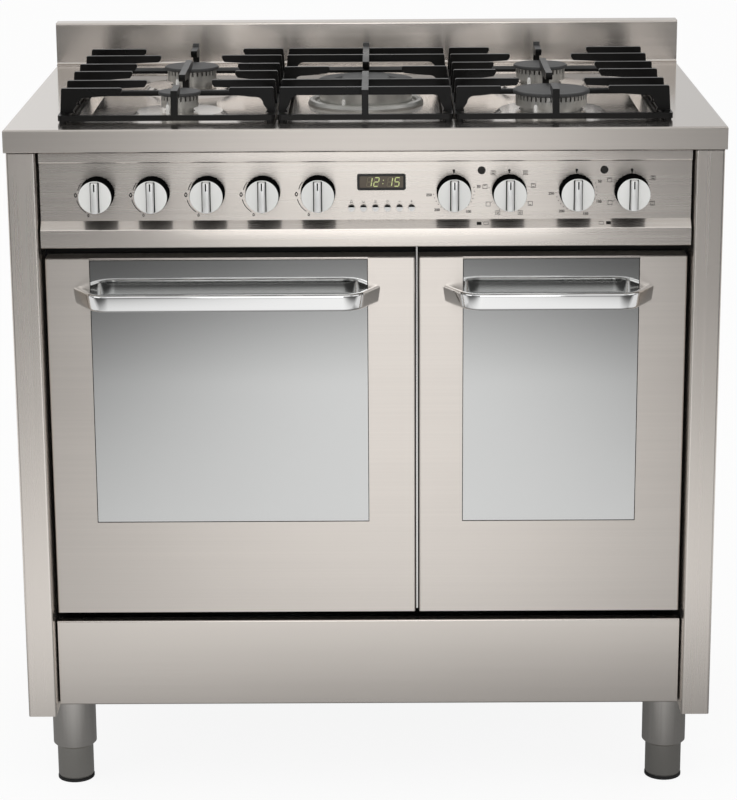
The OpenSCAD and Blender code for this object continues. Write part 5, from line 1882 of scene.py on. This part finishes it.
@dataclass
class Studio:
    """Pale floor, soft lamps, a white surround and the camera of the photograph."""

    floor_half: float = 9.0
    floor_z: float = -0.4 * MM
    floor_grey: float = 0.8
    floor_white: float = 0.95
    # The floor in reflections, as painted light: how it fades far off, and the painted shadow that darkens
    # it near the cooker, by depth
    floor_far: float = 0.12
    fade: Flat = (-3.72, -2.35)
    shade: Flat = (-1.1, -0.33)
    shade_level: float = 0.16
    # The painted pool of light on it: where its middle lies across and how narrow it is, by depth
    pool_shift: Flat = (-1.0, -0.7)
    pool_centres: Flat = (0.05, -0.7)
    pool_depth: Flat = (-3.5, -0.9)
    pool_narrow: Flat = (2.7, 0.4)
    # The painted light on the floor beside the cooker, by the square of the place across and by depth
    beside: Flat = (0.5, 1.6)
    beside_depth: Flat = (-1.4, -0.8)
    beside_level: float = 0.75
    glossy_share: float = 0.9
    white_share: float = 0.9
    # The even fill that lights the cooker
    world_fill: float = 0.82
    fill_rise: Flat = (0.0, 0.9)
    fill_low: Colour = (0.92, 0.93, 0.95)
    fill_high: Colour = (1.0, 0.99, 0.97)
    # What metal and glass mirror above the floor, by the direction's parts
    front_rise: Flat = (0.05, 0.5)
    front_levels: Flat = (0.22, 0.85)
    top_rise: Flat = (0.6, 0.95)
    top_levels: Flat = (1.0, 0.3)
    back_turn: Flat = (-0.15, 0.15)
    back_levels: Flat = (0.84, 0.64)
    behind_turn: Flat = (-0.1, 0.1)
    side_turn: Flat = (0.12, 0.4)
    side_levels: Flat = (1.0, 0.6)
    lamp_target: Solid = (0.0, 0.0, 0.5)
    camera_place: Solid = (0.016, -3.4232, 1.4237)
    camera_turn: Solid = (75.333, 0.334, 0.158)
    camera_reach: Flat = (0.05, 100.0)
    sensor: float = 36.0
    focal_px: float = 2555.1
    image_height: float = 800.0
    centre_y: float = 360.0

    def build(self) -> None:
        """Builds the whole studio."""
        self.floor()
        self.surround()
        self.lamps()
        self.camera()
        bpy.context.scene.view_settings.view_transform = "Standard"
        log.info("studio ready")

    def floor(self) -> None:
        """Lays the floor, white for the camera and a painted pool of light for reflections."""
        shape = Shape()
        shape.points = [(x, y, self.floor_z) for x, y in box_outline(self.floor_half, self.floor_half)]
        shape.faces = [(0, 1, 2, 3)]
        made = bpy.data.objects.new("studio_floor", shape.mesh("studio_floor"))
        bpy.context.scene.collection.objects.link(made)
        material = bpy.data.materials.new("studio_floor")
        material.use_nodes = True
        graph = Graph(material.node_tree)
        out = graph.add("ShaderNodeOutputMaterial")
        seen = graph.add("ShaderNodeLightPath")
        camera, glossy = seen.outputs["Is Camera Ray"], seen.outputs["Is Glossy Ray"]
        cloth = graph.add("ShaderNodeBsdfDiffuse")
        pale = graph.span(camera, UNIT, (self.floor_grey, self.floor_white))
        graph.link(graph.blend(pale, (0.0,) * 3, (1.0,) * 3), cloth.inputs["Color"])
        light = graph.add("ShaderNodeEmission")
        graph.link(graph.math("MAXIMUM", camera, self.pool(graph)), light.inputs["Strength"])
        share = graph.plus(graph.times(camera, self.white_share), graph.times(glossy, self.glossy_share))
        mixed = graph.mix(share, cloth.outputs["BSDF"], light.outputs["Emission"])
        graph.link(mixed, out.inputs["Surface"])
        made.data.materials.append(material)

    def pool(self, graph: Graph) -> Socket:
        """The floor's painted brightness in reflections: a pool of light in front that fades, with painted
        shadow near the cooker, and lit floor at the sides.

        Args:
            graph: the floor's tree.

        Returns:
            The brightness, at most 1.
        """
        depth = graph.axis("Y")
        fading = graph.span(depth, self.fade, (self.floor_far, 1.0))
        shading = graph.span(depth, self.shade, (1.0, self.shade_level))
        narrow = graph.span(depth, self.pool_depth, self.pool_narrow)
        middle = graph.span(depth, self.pool_shift, self.pool_centres)
        off = graph.math("SUBTRACT", graph.axis("X"), middle)
        fall = graph.times(graph.square(off), narrow)
        lobe = graph.math("EXPONENT", graph.times(fall, -1.0))
        pool = graph.times(graph.times(fading, shading), lobe)
        beside = graph.span(graph.square(graph.axis("X")), self.beside, (0.0, self.beside_level))
        aside = graph.times(beside, graph.span(depth, self.beside_depth, UNIT))
        return graph.math("MAXIMUM", pool, aside)

    def surround(self) -> None:
        """Makes the world: an even fill, seen as white by the camera, in metal and through glass."""
        world = bpy.data.worlds.new("studio")
        world.use_nodes = True
        bpy.context.scene.world = world
        graph = Graph(world.node_tree)
        out = graph.add("ShaderNodeOutputWorld")
        path = graph.add("ShaderNodeLightPath")
        camera, glossy, through = (
            path.outputs[f"Is {kind} Ray"] for kind in ("Camera", "Glossy", "Transmission")
        )
        coords = graph.add("ShaderNodeTexCoord")
        split = graph.add("ShaderNodeSeparateXYZ")
        graph.link(coords.outputs["Generated"], split.inputs["Vector"])
        rise = graph.span(split.outputs["Z"], self.fill_rise, UNIT)
        fill = graph.add("ShaderNodeBackground")
        graph.link(graph.blend(rise, self.fill_low, self.fill_high), fill.inputs["Color"])
        fill.inputs["Strength"].default_value = self.world_fill
        white = graph.add("ShaderNodeBackground")
        white.inputs["Color"].default_value = (1.0, 1.0, 1.0, 1.0)
        level = self.mirrored(graph, split)
        graph.link(graph.math("MAXIMUM", level, camera), white.inputs["Strength"])
        seen = graph.math("MAXIMUM", camera, graph.math("MAXIMUM", glossy, through))
        mixed = graph.mix(seen, fill.outputs["Background"], white.outputs["Background"])
        graph.link(mixed, out.inputs["Surface"])

    def mirrored(self, graph: Graph, split: bpy.types.Node) -> Socket:
        """How bright the surround is in metal and glass, by direction.

        Args:
            graph: the world's tree.
            split: the node that gives the direction's parts.

        Returns:
            The brightness, at most 1.
        """
        x, y, z = (split.outputs[name] for name in "XYZ")
        low = graph.span(z, self.front_rise, self.front_levels)
        front = graph.times(low, graph.span(z, self.top_rise, self.top_levels))
        back = graph.span(x, self.back_turn, self.back_levels)
        behind = graph.span(y, self.behind_turn, UNIT)
        ahead = graph.math("SUBTRACT", 1.0, behind)
        base = graph.plus(graph.times(front, ahead), graph.times(back, behind))
        return graph.times(base, graph.span(graph.square(x), self.side_turn, self.side_levels))

    def lamps(self) -> None:
        """Hangs a lamp behind the camera, a large soft one above, and a weaker one at each side."""
        for lamp in (
            Lamp("lamp_front", (0.01, -4.3, 1.3), (1.1, 2.4), 12.5),
            Lamp("lamp_above", (0.2, -1.6, 3.2), (2.4, 2.4), 6.0),
            Lamp("lamp_left", (-3.0, -2.0, 1.8), (1.8, 1.8), 10.5),
            Lamp("lamp_right", (3.0, -1.6, 1.9), (1.8, 1.8), 7.0),
        ):
            lamp.hang(Vector(self.lamp_target))

    def camera(self) -> None:
        """Sets the camera where the photograph's was, with the shift that straightens its uprights."""
        data = bpy.data.cameras.new("camera")
        data.sensor_width = self.sensor
        data.lens = self.focal_px * self.sensor / self.image_height
        data.shift_y = (self.centre_y - self.image_height / 2) / self.image_height
        data.clip_start, data.clip_end = self.camera_reach
        camera = bpy.data.objects.new("camera", data)
        bpy.context.scene.collection.objects.link(camera)
        camera.location = self.camera_place
        camera.rotation_euler = tuple(math.radians(angle) for angle in self.camera_turn)
        bpy.context.scene.camera = camera


def main() -> None:
    """Loads the frame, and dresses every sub-assembly."""
    logging.basicConfig(level=logging.INFO, format="%(message)s")
    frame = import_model()
    bench = Bench(frame["nodes"])
    doors = (Door("main"), Door("small"))
    for assembly in (Cabinet(), Hob(), ControlPanel(), Clock(), *doors, Ovens(), StorageFlap()):
        assembly.dress(bench)
        log.info("%s done", type(assembly).__name__)
    Studio().build()


if __name__ == "__main__":
    main()
